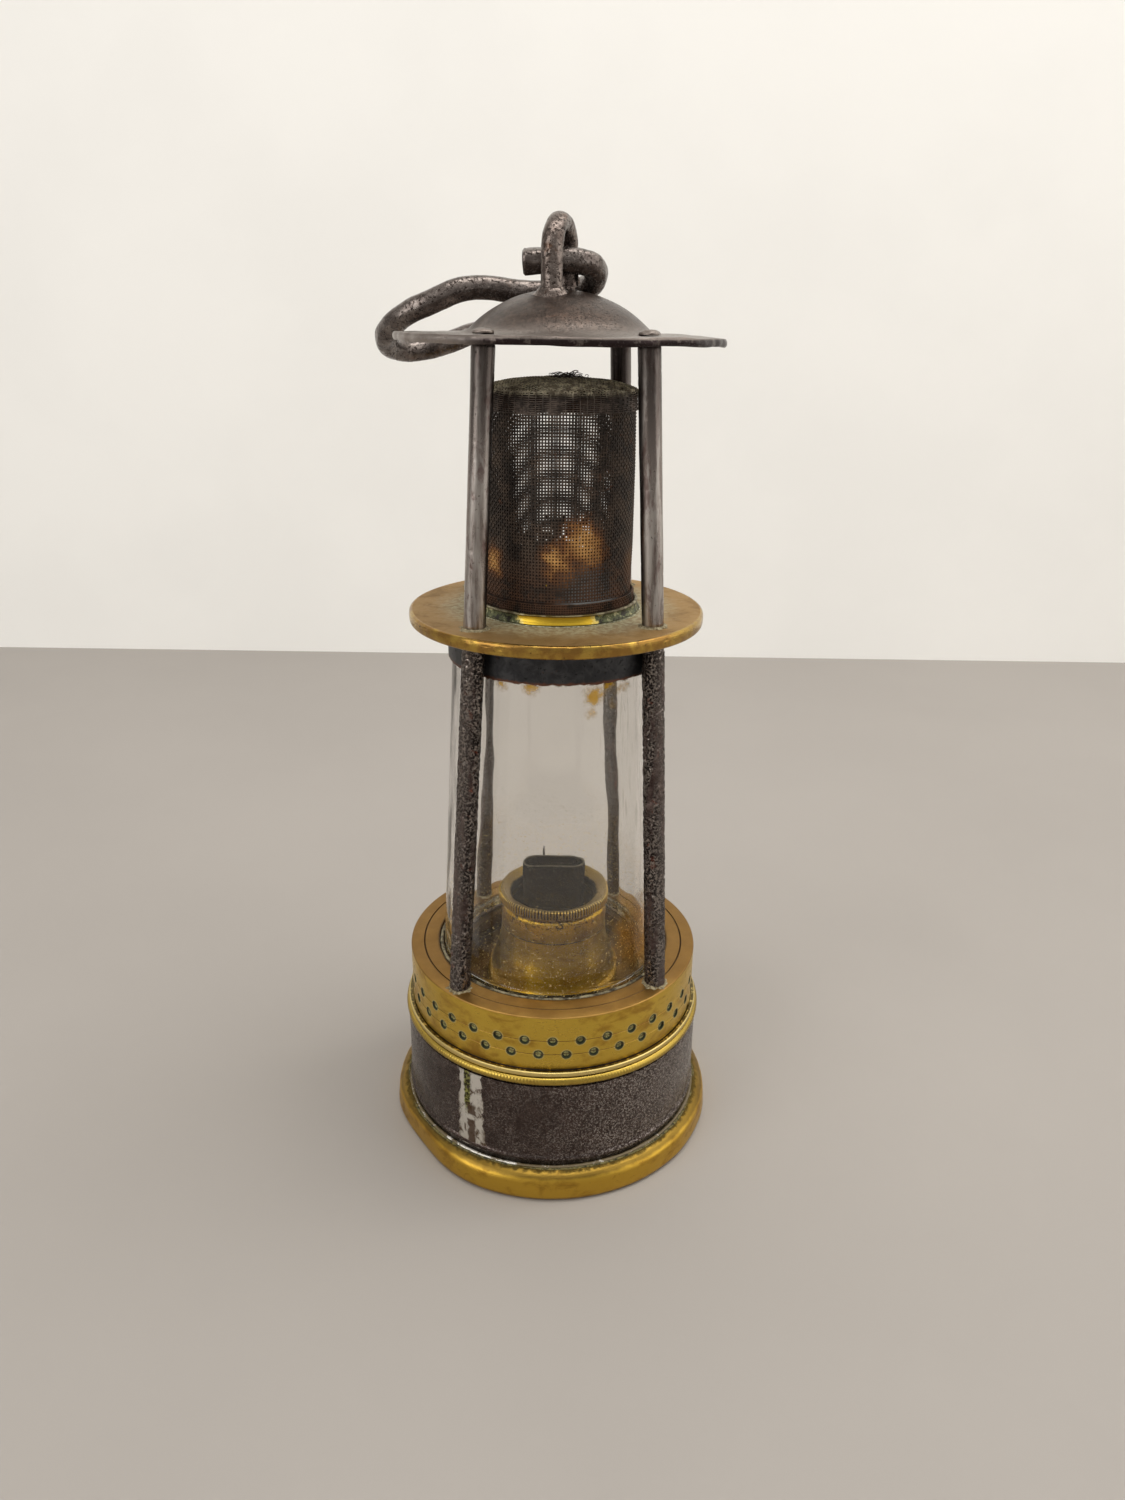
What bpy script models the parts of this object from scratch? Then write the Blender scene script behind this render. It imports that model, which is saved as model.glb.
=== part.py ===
"""Miner's flame safety lamp, an oil lamp with a gauze chimney over a glass.

The lamp is made of three groups. The oil vessel carries the burner and stands
on the ground. The frame (air ring, glass, pillars, gauze and hood) screws onto
the vessel. The carrying hook swings in the eye on top of the hood.

Sizes are in millimetres here and are turned into metres as each mesh is made.
The origin is at the centre of the underside, +Z is up.
"""

import math

import bmesh
import bpy
from mathutils import Matrix, Vector

MM = 0.001
GAP = 0.3                 # clearance between two pieces that meet
VISIBLE_SIDES = 32        # sides of the large turned pieces
SMALL_SIDES = 24          # sides of the small turned pieces
ROD_SIDES = 14            # sides of the pillars

# --- oil vessel -----------------------------------------------------------
FOOT_RADIUS = 45.0
FOOT_HEIGHT = 8.0
FOOT_PLATE = 3.0
RECESS_RADIUS = 14.0      # hollow under the foot for the pricker's handle
RECESS_DEPTH = 4.0
SHELL_RADIUS = 40.7
SHELL_WALL = 1.2
SHELL_TOP = 33.4
BEAD_RADIUS = 41.2
BEAD_TOP = 36.6
NECK_RADIUS = 36.9        # the screwed neck that the air ring turns on
NECK_TOP = 41.0
DECK_TOP = 45.2           # raised middle of the vessel's top, under the burner

# --- burner ---------------------------------------------------------------
BELL_FOOT_RADIUS = 17.6
BELL_RADIUS = 13.9
BELL_TOP = 66.2
BURNER_OPENING = 11.2
KNURL_RADIUS = 14.2
KNURL_TOP = 69.7
WICK_TUBE_WIDTH = 17.0
WICK_TUBE_DEPTH = 6.4
WICK_TUBE_BOTTOM = 47.0
WICK_TUBE_TOP = 77.0
WICK_TUBE_WALL = 0.6
WICK_BOTTOM = 12.0
WICK_PROUD = 0.2          # how far the wick stands over its tube
WICK_PLATE_BOTTOM = 63.1
WICK_PLATE_TOP = 64.5
PRICKER_X = -3.0
PRICKER_Y = 6.8
PRICKER_RADIUS = 0.5
PRICKER_TUBE_BOTTOM = 6.8
PRICKER_TUBE_TOP = 66.0
PRICKER_TUBE_WALL = 0.7
PRICKER_HANDLE = (11.0, 3.2)      # width and depth of the flat handle
HANDLE_BOTTOM = 1.0
HANDLE_TOP = 2.6
PRICKER_TOP = 79.0        # middle of the tip that lies over the wick

# --- frame ----------------------------------------------------------------
RING_BOTTOM = 37.8
RING_TOP = 53.4
RING_RADIUS = 39.3
RING_BORE = 31.5
RING_THREAD_RADIUS = 37.3
RING_FLANGE = 5.4         # thickness of the ring's top flange
AIR_HOLES = 35            # holes in each of the two rows
AIR_HOLE_RADIUS = 1.0
AIR_ROWS = (42.4, 46.4)
AIR_HOLE_PHASE = 8.5      # degrees from +X to the lower row's first hole
PILLAR_NAMES = ("back_right", "back_left", "front_left", "front_right")
PILLAR_ANGLES = (51.4, 136.0, 228.5, 319.0)   # degrees about Z, at the ring
PILLAR_TWIST = 2.0        # degrees that the mid plate and the hood are turned further
PILLAR_FOOT_RADIUS = 35.6     # distance from the lamp's axis at the ring's top
PILLAR_LEAN = 0.0702      # inward lean, per unit of height
LOWER_PILLAR_RADIUS = 2.7
UPPER_PILLAR_RADIUS = 2.55
TENON_RADIUS = 1.5
SOCKET_DEPTH = 4.4        # depth of the pillars' holes in the ring
AIR_GAUZE_RADIUS = 32.8
AIR_GAUZE_BOTTOM = 40.4
AIR_GAUZE_TOP = 47.6
GLASS_RING_BORE = 24.2
GLASS_RING_BOTTOM = 47.4
GLASS_RING_TOP = 50.6
GLASS_BOTTOM = 51.9
GLASS_TOP = 140.2
GLASS_BOTTOM_RADIUS = 30.2
GLASS_TOP_RADIUS = 25.7
GLASS_WALL = 4.5
HOLDER_RADIUS = 26.6
HOLDER_BOTTOM = 137.8
PLATE_BOTTOM = 144.4
PLATE_TOP = 147.5
PLATE_RADIUS = 36.2
PLATE_BORE = 17.0
COLLAR_RADIUS = 19.7
COLLAR_TOP = 150.1
BAND_BOTTOM = 149.0       # iron band round the gauze's foot
BAND_TOP = 152.6
GAUZE_BOTTOM = 149.2
GAUZE_RADIUS = 18.2
GAUZE_WALL = 0.5
GAUZE_TOP = 197.7
CAP_RADIUS = 18.95
CAP_BOTTOM = 194.0
CAP_TOP = 201.1
HOOD_RADIUS = 37.2
BRIM_TOP = 210.0
BRIM_THICKNESS = 1.7
DOME_THICKNESS = 1.2
DOME_RADIUS = 20.8        # where the dome meets the brim
DOME_TOP = 219.3
RIVET_RADIUS = 2.3        # heads of the upper pillars on the brim
RIVET_HEIGHT = 1.7

# --- eye and hook ---------------------------------------------------------
EYE_ROD = 2.15            # half the eye's thickness, seen square on to its arch
EYE_BREADTH = 1.32        # the eye's width over its thickness
EYE_HALF_WIDTH = 6.6      # from the lamp's axis to the middle of each leg
EYE_TOP = 234.8
EYE_TURN = -15.0          # degrees that the eye is turned about Z
HOOK_ROD = 2.75           # radius of the hook's rod
# The hook's centre line from its cut end, through the eye, round the back leg
# and over the dome, up to where the bow starts.
HOOK_SHANK = (
    (-8.2, 0.2, 224.7), (-4.0, 0.0, 224.9), (0.0, -0.1, 225.0), (3.7, 0.5, 225.0),
    (6.9, 2.8, 224.3), (8.1, 6.8, 222.5), (6.9, 10.8, 220.4), (3.6, 13.8, 219.3),
    (-1.0, 15.1, 218.9), (-6.0, 15.2, 218.7), (-12.0, 14.6, 219.1),
    (-18.0, 13.6, 219.4), (-24.0, 12.8, 218.2),
)
BOW_CENTRE = (-29.5, 25.0)
BOW_RADIUS = 12.4
BOW_PLANE = (230.5, 0.34, -0.38)      # height at the axis, then slopes along X and Y
HOOK_TIP = ((-23.5, 37.6), (-17.5, 38.1), (-12.0, 38.8))


def clear_scene():
    for existing in list(bpy.data.objects):
        bpy.data.objects.remove(existing, do_unlink=True)


def make_material(name, colour, roughness, metallic, transmission=0.0):
    material = bpy.data.materials.new(name)
    material.use_nodes = True
    shader = material.node_tree.nodes["Principled BSDF"]
    shader.inputs["Base Color"].default_value = (*colour, 1.0)
    shader.inputs["Roughness"].default_value = roughness
    shader.inputs["Metallic"].default_value = metallic
    shader.inputs["Transmission Weight"].default_value = transmission
    return material


def finish_object(bm, name, material, smooth_angle=35.0):
    """Turn a bmesh built in millimetres into a named object in metres."""
    bmesh.ops.remove_doubles(bm, verts=bm.verts, dist=0.001)
    bmesh.ops.recalc_face_normals(bm, faces=bm.faces)
    bmesh.ops.scale(bm, vec=(MM, MM, MM), verts=bm.verts)
    mesh = bpy.data.meshes.new(name)
    bm.to_mesh(mesh)
    bm.free()
    mesh.materials.append(material)
    mesh.shade_smooth()
    mesh.set_sharp_from_angle(angle=math.radians(smooth_angle))
    made = bpy.data.objects.new(name, mesh)
    bpy.context.collection.objects.link(made)
    return made


def turned(name, profile, material, sides=VISIBLE_SIDES):
    """Spin a closed outline of (radius, height) points about the Z axis."""
    bm = bmesh.new()
    points = [bm.verts.new((radius, 0.0, height)) for radius, height in profile]
    edges = []
    for index, point in enumerate(points):
        following = points[(index + 1) % len(points)]
        on_axis = point.co.x < 1e-6 and following.co.x < 1e-6
        if not on_axis:
            edges.append(bm.edges.new((point, following)))
    bmesh.ops.spin(
        bm, geom=points + edges, cent=(0, 0, 0), axis=(0, 0, 1),
        angle=math.tau, steps=sides, use_merge=True, use_duplicate=False,
    )
    bmesh.ops.remove_doubles(bm, verts=bm.verts, dist=0.001)
    return finish_object(bm, name, material)


def oval_outline(width, depth, arc_steps=6):
    """A flat oval: two half circles joined by straight sides."""
    radius = depth / 2
    straight = width / 2 - radius
    outline = []
    for side in (1, -1):
        for step in range(arc_steps + 1):
            angle = math.pi * (step / arc_steps - 0.5)
            outline.append((
                side * (straight + radius * math.cos(angle)),
                side * radius * math.sin(angle),
            ))
    return outline


def prism(name, outline, bottom, top, material, inner=None):
    """Extrude an outline upwards; with an inner outline it becomes a tube."""
    bm = bmesh.new()
    rings = []
    for height in (bottom, top):
        rings.append([bm.verts.new((x, y, height)) for x, y in outline])
    count = len(outline)
    if inner is None:
        bm.faces.new(rings[0])
        bm.faces.new(rings[1])
        loops = [(rings[0], rings[1])]
    else:
        hollow = []
        for height in (bottom, top):
            hollow.append([bm.verts.new((x, y, height)) for x, y in inner])
        loops = [
            (rings[0], rings[1]), (hollow[0], hollow[1]),
            (rings[0], hollow[0]), (rings[1], hollow[1]),
        ]
    for low, high in loops:
        for index in range(count):
            after = (index + 1) % count
            bm.faces.new((low[index], low[after], high[after], high[index]))
    return finish_object(bm, name, material)


def swept_rod(name, line, radius, material, samples=4, sides=10):
    """A round rod with closed ends along a smooth curve through the points."""
    curve = bpy.data.curves.new(name + "_path", "CURVE")
    curve.dimensions = "3D"
    curve.bevel_depth = radius * MM
    curve.bevel_resolution = (sides - 4) // 2
    curve.use_fill_caps = True
    smooth = smooth_line(line, samples)
    spline = curve.splines.new("POLY")
    spline.points.add(len(smooth) - 1)
    for point, place in zip(spline.points, smooth):
        point.co = (*(place * MM), 1.0)
    holder = bpy.data.objects.new(name + "_path", curve)
    bpy.context.collection.objects.link(holder)
    mesh = bpy.data.meshes.new_from_object(holder.evaluated_get(bpy.context.evaluated_depsgraph_get()))
    bpy.data.objects.remove(holder, do_unlink=True)
    bm = bmesh.new()
    bm.from_mesh(mesh)
    bpy.data.meshes.remove(mesh)
    bmesh.ops.scale(bm, vec=(1 / MM, 1 / MM, 1 / MM), verts=bm.verts)
    return finish_object(bm, name, material, smooth_angle=50.0)


def smooth_line(points, samples):
    """Points read from a Catmull-Rom curve through the given points."""
    given = [Vector(point) for point in points]
    ends = [given[0] * 2 - given[1]] + given + [given[-1] * 2 - given[-2]]
    line = []
    for index in range(1, len(ends) - 2):
        before, start, end, after = ends[index - 1:index + 3]
        for step in range(samples):
            t = step / samples
            line.append(0.5 * (
                2 * start + (end - before) * t
                + (2 * before - 5 * start + 4 * end - after) * t * t
                + (3 * start - before - 3 * end + after) * t ** 3
            ))
    line.append(given[-1])
    return line


def cut(target, cutter):
    """Take a cutter's volume away from the target, then drop the cutter."""
    cutter.hide_render = True
    cutter.display_type = "WIRE"
    combine(target, cutter, "DIFFERENCE")


def combine(target, other, operation):
    modifier = target.modifiers.new(operation.lower(), "BOOLEAN")
    modifier.operation = operation
    modifier.solver = "EXACT"
    modifier.object = other
    bpy.context.view_layer.update()
    shape = bpy.data.meshes.new_from_object(
        target.evaluated_get(bpy.context.evaluated_depsgraph_get()))
    target.modifiers.clear()
    target.data = shape
    bpy.data.objects.remove(other, do_unlink=True)


def cylinder(name, radius, bottom, top, material, sides=12):
    return turned(name, ((0, bottom), (radius, bottom), (radius, top), (0, top)), material, sides)


# --- pillars' common geometry ---------------------------------------------

def pillar_point(index, height, twist):
    """Point of a pillar's centre line, for a twist in degrees at this height."""
    angle = math.radians(PILLAR_ANGLES[index] + twist)
    reach = PILLAR_FOOT_RADIUS - PILLAR_LEAN * (height - RING_TOP)
    return Vector((reach * math.cos(angle), reach * math.sin(angle), height))


def pillar_matrix(index, upper):
    """Places local Z along a pillar, with local heights equal to the lamp's."""
    if upper:
        start = pillar_point(index, PLATE_TOP, PILLAR_TWIST)
        end = pillar_point(index, BRIM_TOP, PILLAR_TWIST)
    else:
        start = pillar_point(index, RING_TOP, 0.0)
        end = pillar_point(index, PLATE_TOP, PILLAR_TWIST)
    along = end - start
    turn = Vector((0, 0, 1)).rotation_difference(along).to_matrix().to_4x4()
    stretch = along.length / along.z
    ground = start - along * (start.z / along.z)
    return Matrix.Translation(ground * MM) @ turn @ Matrix.Diagonal((1, 1, stretch, 1))


def place_on_pillar(piece, index, upper):
    piece.data.transform(pillar_matrix(index, upper))
    piece.data.update()


# --- the pieces -----------------------------------------------------------

def base_flange(materials):
    top_of_recess = RECESS_DEPTH + 2.5
    profile = (
        (0, RECESS_DEPTH), (RECESS_RADIUS, RECESS_DEPTH), (RECESS_RADIUS + 0.8, 0),
        (FOOT_RADIUS - 2.2, 0), (FOOT_RADIUS - 0.7, 0.6), (FOOT_RADIUS, 2.2),
        (FOOT_RADIUS, 5.0), (FOOT_RADIUS - 0.7, 6.8), (FOOT_RADIUS - 2.4, FOOT_HEIGHT),
        (SHELL_RADIUS + GAP, FOOT_HEIGHT), (SHELL_RADIUS + GAP, FOOT_PLATE),
        (RECESS_RADIUS + 4, FOOT_PLATE), (RECESS_RADIUS + 2.5, top_of_recess),
        (0, top_of_recess),
    )
    foot = turned("base_flange", profile, materials["foot_brass"])
    hole = cylinder("hole", PRICKER_RADIUS + GAP, 0, 10, materials["foot_brass"])
    hole.data.transform(Matrix.Translation(Vector((PRICKER_X, PRICKER_Y, 0)) * MM))
    cut(foot, hole)


def vessel_shell(materials):
    inner = SHELL_RADIUS - SHELL_WALL
    bottom = FOOT_PLATE + GAP
    turned("vessel_shell", (
        (inner, bottom), (SHELL_RADIUS, bottom), (SHELL_RADIUS, SHELL_TOP), (inner, SHELL_TOP),
    ), materials["dark_iron"])


def vessel_collar(materials):
    bottom = SHELL_TOP + GAP
    inner = NECK_RADIUS - 2.4
    turned("vessel_collar", (
        (inner, bottom), (BEAD_RADIUS - 0.5, bottom), (BEAD_RADIUS, bottom + 0.9),
        (BEAD_RADIUS, BEAD_TOP - 0.9), (BEAD_RADIUS - 0.5, BEAD_TOP), (NECK_RADIUS, BEAD_TOP),
        (NECK_RADIUS, NECK_TOP), (inner, NECK_TOP),
    ), materials["ring_brass"])


def vessel_top(materials):
    rim = NECK_RADIUS - 2.4 - GAP
    turned("vessel_top", (
        (10.0, DECK_TOP - 1.2), (23.6, DECK_TOP - 1.2), (26.0, 38.4), (rim, 38.4),
        (rim, 39.8), (27.2, 39.8), (24.8, DECK_TOP), (10.0, DECK_TOP),
    ), materials["dull_brass"], SMALL_SIDES)


def burner_bell(materials):
    foot = DECK_TOP + GAP
    wall = 1.3
    turned("burner_bell", (
        (BELL_FOOT_RADIUS - wall, foot), (BELL_FOOT_RADIUS + 0.6, foot),
        (BELL_FOOT_RADIUS + 0.6, foot + 1.1), (BELL_FOOT_RADIUS - 0.2, foot + 1.5),
        (15.6, 52.0), (14.5, 56.2), (BELL_RADIUS, 59.6), (BELL_RADIUS, 65.4),
        (BELL_RADIUS - 0.8, BELL_TOP), (BURNER_OPENING, BELL_TOP), (BURNER_OPENING, 64.8),
        (BELL_RADIUS - wall, 64.8), (BELL_RADIUS - wall, 59.4), (14.3, 52.2),
    ), materials["dull_brass"], SMALL_SIDES + 8)


def burner_ring(materials):
    bottom = BELL_TOP + GAP
    turned("burner_ring", (
        (BURNER_OPENING, bottom), (KNURL_RADIUS, bottom), (KNURL_RADIUS, KNURL_TOP - 0.4),
        (KNURL_RADIUS - 0.4, KNURL_TOP), (BURNER_OPENING - 0.2, KNURL_TOP),
        (BURNER_OPENING - 0.2, KNURL_TOP - 0.8),
    ), materials["dull_brass"], SMALL_SIDES + 8)


def wick_plate(materials):
    outer = BELL_RADIUS - 1.3 - GAP
    plate = cylinder("wick_plate", outer, WICK_PLATE_BOTTOM, WICK_PLATE_TOP,
                     materials["dull_brass"], SMALL_SIDES)
    slot = oval_outline(WICK_TUBE_WIDTH + 2 * GAP, WICK_TUBE_DEPTH + 2 * GAP)
    low, high = WICK_PLATE_BOTTOM - 3, WICK_PLATE_TOP + 3
    cut(plate, prism("slot", slot, low, high, materials["dull_brass"]))
    hole = cylinder("hole", PRICKER_RADIUS + PRICKER_TUBE_WALL + 2 * GAP, low, high,
                    materials["dull_brass"])
    hole.data.transform(Matrix.Translation(Vector((PRICKER_X, PRICKER_Y, 0)) * MM))
    cut(plate, hole)


def wick_tube(materials):
    inside_width = WICK_TUBE_WIDTH - 2 * WICK_TUBE_WALL
    inside_depth = WICK_TUBE_DEPTH - 2 * WICK_TUBE_WALL
    prism(
        "wick_tube", oval_outline(WICK_TUBE_WIDTH, WICK_TUBE_DEPTH), WICK_TUBE_BOTTOM,
        WICK_TUBE_TOP, materials["soot_metal"], inner=oval_outline(inside_width, inside_depth),
    )


def wick(materials):
    margin = 2 * WICK_TUBE_WALL + 2 * GAP
    outline = oval_outline(WICK_TUBE_WIDTH - margin, WICK_TUBE_DEPTH - margin)
    prism("wick", outline, WICK_BOTTOM, WICK_TUBE_TOP + WICK_PROUD, materials["wick_cotton"])


def pricker_tube(materials):
    inner = PRICKER_RADIUS + GAP
    tube = turned("pricker_tube", (
        (inner, PRICKER_TUBE_BOTTOM), (inner + PRICKER_TUBE_WALL, PRICKER_TUBE_BOTTOM),
        (inner + PRICKER_TUBE_WALL, PRICKER_TUBE_TOP), (inner, PRICKER_TUBE_TOP),
    ), materials["dull_brass"], 12)
    tube.data.transform(Matrix.Translation(Vector((PRICKER_X, PRICKER_Y, 0)) * MM))


def pricker(materials):
    """Trimming wire: a flat handle under the foot, a hooked tip over the wick."""
    x, y = PRICKER_X, PRICKER_Y
    line = [(x, y, 1.9), (x, y, 20.0), (x, y, 40.0), (x, y, 60.0), (x, y, PRICKER_TOP - 2.4)]
    line += [(x, y - 0.4, PRICKER_TOP - 0.9), (x, y - 1.7, PRICKER_TOP - 0.1), (x, y - 6.2, PRICKER_TOP)]
    wire = swept_rod("pricker", line, PRICKER_RADIUS, materials["dark_iron"], samples=2, sides=8)
    handle = prism("handle", oval_outline(*PRICKER_HANDLE), HANDLE_BOTTOM, HANDLE_TOP,
                   materials["dark_iron"])
    reach = (PRICKER_HANDLE[0] - PRICKER_HANDLE[1]) / 2 - 0.3
    handle.data.transform(Matrix.Translation(Vector((x + reach, y, 0)) * MM))
    combine(wire, handle, "UNION")
    origin = Vector((x, y, 0)) * MM
    wire.data.transform(Matrix.Translation(-origin))
    wire.location = origin


def leather_washer(materials):
    bottom = BEAD_TOP + GAP
    top = RING_BOTTOM - GAP
    turned("leather_washer", (
        (NECK_RADIUS + GAP, bottom), (38.9, bottom), (38.9, top), (NECK_RADIUS + GAP, top),
    ), materials["leather"])


def air_ring(materials):
    """Screwed ring that feeds the flame through two rows of air holes."""
    flange = RING_TOP - RING_FLANGE
    ring = turned("air_ring", (
        (RING_THREAD_RADIUS, RING_BOTTOM), (RING_RADIUS, RING_BOTTOM),
        (RING_RADIUS, RING_TOP - 0.4), (RING_RADIUS - 0.4, RING_TOP), (RING_BORE, RING_TOP),
        (RING_BORE, flange), (RING_THREAD_RADIUS, flange),
    ), materials["ring_brass"])
    drills = bmesh.new()
    for row, height in enumerate(AIR_ROWS):
        for index in range(AIR_HOLES):
            turn = math.radians(AIR_HOLE_PHASE) + math.tau * (index + 0.5 * row) / AIR_HOLES
            place = (
                Matrix.Rotation(turn, 4, "Z") @ Matrix.Translation((RING_RADIUS - 1.0, 0, height))
                @ Matrix.Rotation(math.pi / 2, 4, "Y")
            )
            bmesh.ops.create_cone(
                drills, cap_ends=True, segments=6, radius1=AIR_HOLE_RADIUS,
                radius2=AIR_HOLE_RADIUS, depth=4.0, matrix=place,
            )
    cut(ring, finish_object(drills, "drills", materials["ring_brass"]))
    for index in range(4):
        socket = cylinder("socket", TENON_RADIUS + GAP, RING_TOP - SOCKET_DEPTH, RING_TOP + 3,
                          materials["ring_brass"])
        place_on_pillar(socket, index, upper=False)
        cut(ring, socket)


def air_gauze(materials):
    inner = AIR_GAUZE_RADIUS - GAUZE_WALL
    turned("air_gauze", (
        (inner, AIR_GAUZE_BOTTOM), (AIR_GAUZE_RADIUS, AIR_GAUZE_BOTTOM),
        (AIR_GAUZE_RADIUS, AIR_GAUZE_TOP), (inner, AIR_GAUZE_TOP),
    ), materials["gauze_wire"], SMALL_SIDES)


def glass_ring(materials):
    outer = RING_BORE - GAP
    turned("glass_ring", (
        (GLASS_RING_BORE, GLASS_RING_BOTTOM), (outer, GLASS_RING_BOTTOM),
        (outer, GLASS_RING_TOP), (GLASS_RING_BORE, GLASS_RING_TOP),
    ), materials["dull_brass"], SMALL_SIDES + 8)


def washers(materials):
    thickness = 0.7
    for name, bottom, outer in (
        ("lower_washer", GLASS_RING_TOP + GAP, GLASS_BOTTOM_RADIUS),
        ("upper_washer", GLASS_TOP + GAP, GLASS_TOP_RADIUS - 0.1),
    ):
        inner, top = outer - GLASS_WALL + 0.3, bottom + thickness
        turned(name, ((inner, bottom), (outer, bottom), (outer, top), (inner, top)),
               materials["leather"], SMALL_SIDES)


def glass(materials):
    turned("glass", (
        (GLASS_BOTTOM_RADIUS - GLASS_WALL, GLASS_BOTTOM), (GLASS_BOTTOM_RADIUS, GLASS_BOTTOM),
        (GLASS_TOP_RADIUS, GLASS_TOP), (GLASS_TOP_RADIUS - GLASS_WALL, GLASS_TOP),
    ), materials["clear_glass"])


def glass_holder(materials):
    seat = GLASS_TOP + 1.3
    inner = HOLDER_RADIUS - 0.6
    turned("glass_holder", (
        (20.5, seat), (inner, seat), (inner, HOLDER_BOTTOM), (HOLDER_RADIUS, HOLDER_BOTTOM),
        (HOLDER_RADIUS, PLATE_BOTTOM - GAP), (20.5, PLATE_BOTTOM - GAP),
    ), materials["black_iron"])


def mid_plate(materials):
    plate = turned("mid_plate", (
        (PLATE_BORE, PLATE_BOTTOM), (PLATE_RADIUS - 1.0, PLATE_BOTTOM),
        (PLATE_RADIUS - 0.2, PLATE_BOTTOM + 0.6), (PLATE_RADIUS, PLATE_BOTTOM + 1.5),
        (PLATE_RADIUS - 0.2, PLATE_TOP - 0.6), (PLATE_RADIUS - 1.0, PLATE_TOP),
        (PLATE_BORE, PLATE_TOP),
    ), materials["plate_brass"])
    for index in range(4):
        hole = cylinder("hole", TENON_RADIUS + GAP, PLATE_BOTTOM - 4, PLATE_TOP + 4,
                        materials["plate_brass"])
        place_on_pillar(hole, index, upper=False)
        cut(plate, hole)


def gauze_collar(materials):
    bottom = PLATE_TOP + GAP
    floor = bottom + 0.9
    lip = COLLAR_RADIUS - 0.5
    turned("gauze_collar", (
        (PLATE_BORE, bottom), (COLLAR_RADIUS, bottom), (COLLAR_RADIUS, COLLAR_TOP),
        (lip, COLLAR_TOP), (lip, floor), (PLATE_BORE, floor),
    ), materials["plate_brass"], SMALL_SIDES + 8)


def gauze_base_ring(materials):
    inner = GAUZE_RADIUS + GAP
    turned("gauze_base_ring", (
        (inner, BAND_BOTTOM), (inner + 0.4, BAND_BOTTOM), (inner + 0.4, BAND_TOP), (inner, BAND_TOP),
    ), materials["black_iron"], SMALL_SIDES + 8)


def gauze(materials):
    inner = GAUZE_RADIUS - GAUZE_WALL
    turned("gauze", (
        (inner, GAUZE_BOTTOM), (GAUZE_RADIUS, GAUZE_BOTTOM), (GAUZE_RADIUS, GAUZE_TOP - 0.6),
        (GAUZE_RADIUS - 0.6, GAUZE_TOP), (0, GAUZE_TOP), (0, GAUZE_TOP - 0.5),
        (inner - 0.4, GAUZE_TOP - 0.5), (inner, GAUZE_TOP - 0.9),
    ), materials["gauze_wire"], SMALL_SIDES + 8)


def gauze_cap(materials):
    inner = CAP_RADIUS - 0.45
    turned("gauze_cap", (
        (inner, CAP_BOTTOM), (CAP_RADIUS, CAP_BOTTOM), (CAP_RADIUS, CAP_TOP - 4.0),
        (CAP_RADIUS - 0.8, CAP_TOP - 2.9), (13.5, CAP_TOP - 1.3), (7.0, CAP_TOP - 0.3),
        (0, CAP_TOP), (0, CAP_TOP - 0.5), (7.0, CAP_TOP - 0.8), (13.3, CAP_TOP - 1.8),
        (inner - 0.8, CAP_TOP - 3.2), (inner, CAP_TOP - 4.2),
    ), materials["gauze_wire"], SMALL_SIDES + 8)


def dome_height(radius, offset=0.0):
    """Height of the hood's dome at a radius, for the skin moved in by offset."""
    rise = DOME_TOP - BRIM_TOP - 0.6
    sphere = (DOME_RADIUS ** 2 + rise ** 2) / (2 * rise)
    centre = DOME_TOP - sphere
    return centre + math.sqrt((sphere - offset) ** 2 - radius ** 2)


def hood(materials):
    """Ogee canopy: a dome that runs out into a flat round brim."""
    dome_steps = 5
    brim_bottom = BRIM_TOP - BRIM_THICKNESS
    edge = 0.4
    upper = [(HOOD_RADIUS, BRIM_TOP - edge), (HOOD_RADIUS - edge, BRIM_TOP),
             (DOME_RADIUS + 0.9, BRIM_TOP)]
    under = []
    for step in range(dome_steps + 1):
        radius = (DOME_RADIUS - 0.6) * (1 - step / dome_steps)
        upper.append((radius, dome_height(radius)))
        under.append((radius * 0.97, dome_height(radius * 0.97, DOME_THICKNESS)))
    under.reverse()
    under += [(DOME_RADIUS + 0.2, brim_bottom), (HOOD_RADIUS - edge, brim_bottom),
              (HOOD_RADIUS, brim_bottom + edge)]
    canopy = turned("hood", upper + under, materials["hood_iron"])
    for index in range(4):
        hole = cylinder("hole", TENON_RADIUS + GAP, BRIM_TOP - 5, BRIM_TOP + 5,
                        materials["hood_iron"])
        place_on_pillar(hole, index, upper=True)
        cut(canopy, hole)
    for side in (1, -1):
        hole = cylinder("hole", TENON_RADIUS + GAP, BRIM_TOP, DOME_TOP + 5,
                        materials["hood_iron"])
        hole.data.transform(eye_matrix() @ Matrix.Translation((0, side * EYE_HALF_WIDTH * MM, 0)))
        cut(canopy, hole)


def eye_matrix():
    return Matrix.Rotation(math.radians(EYE_TURN), 4, "Z")


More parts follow.
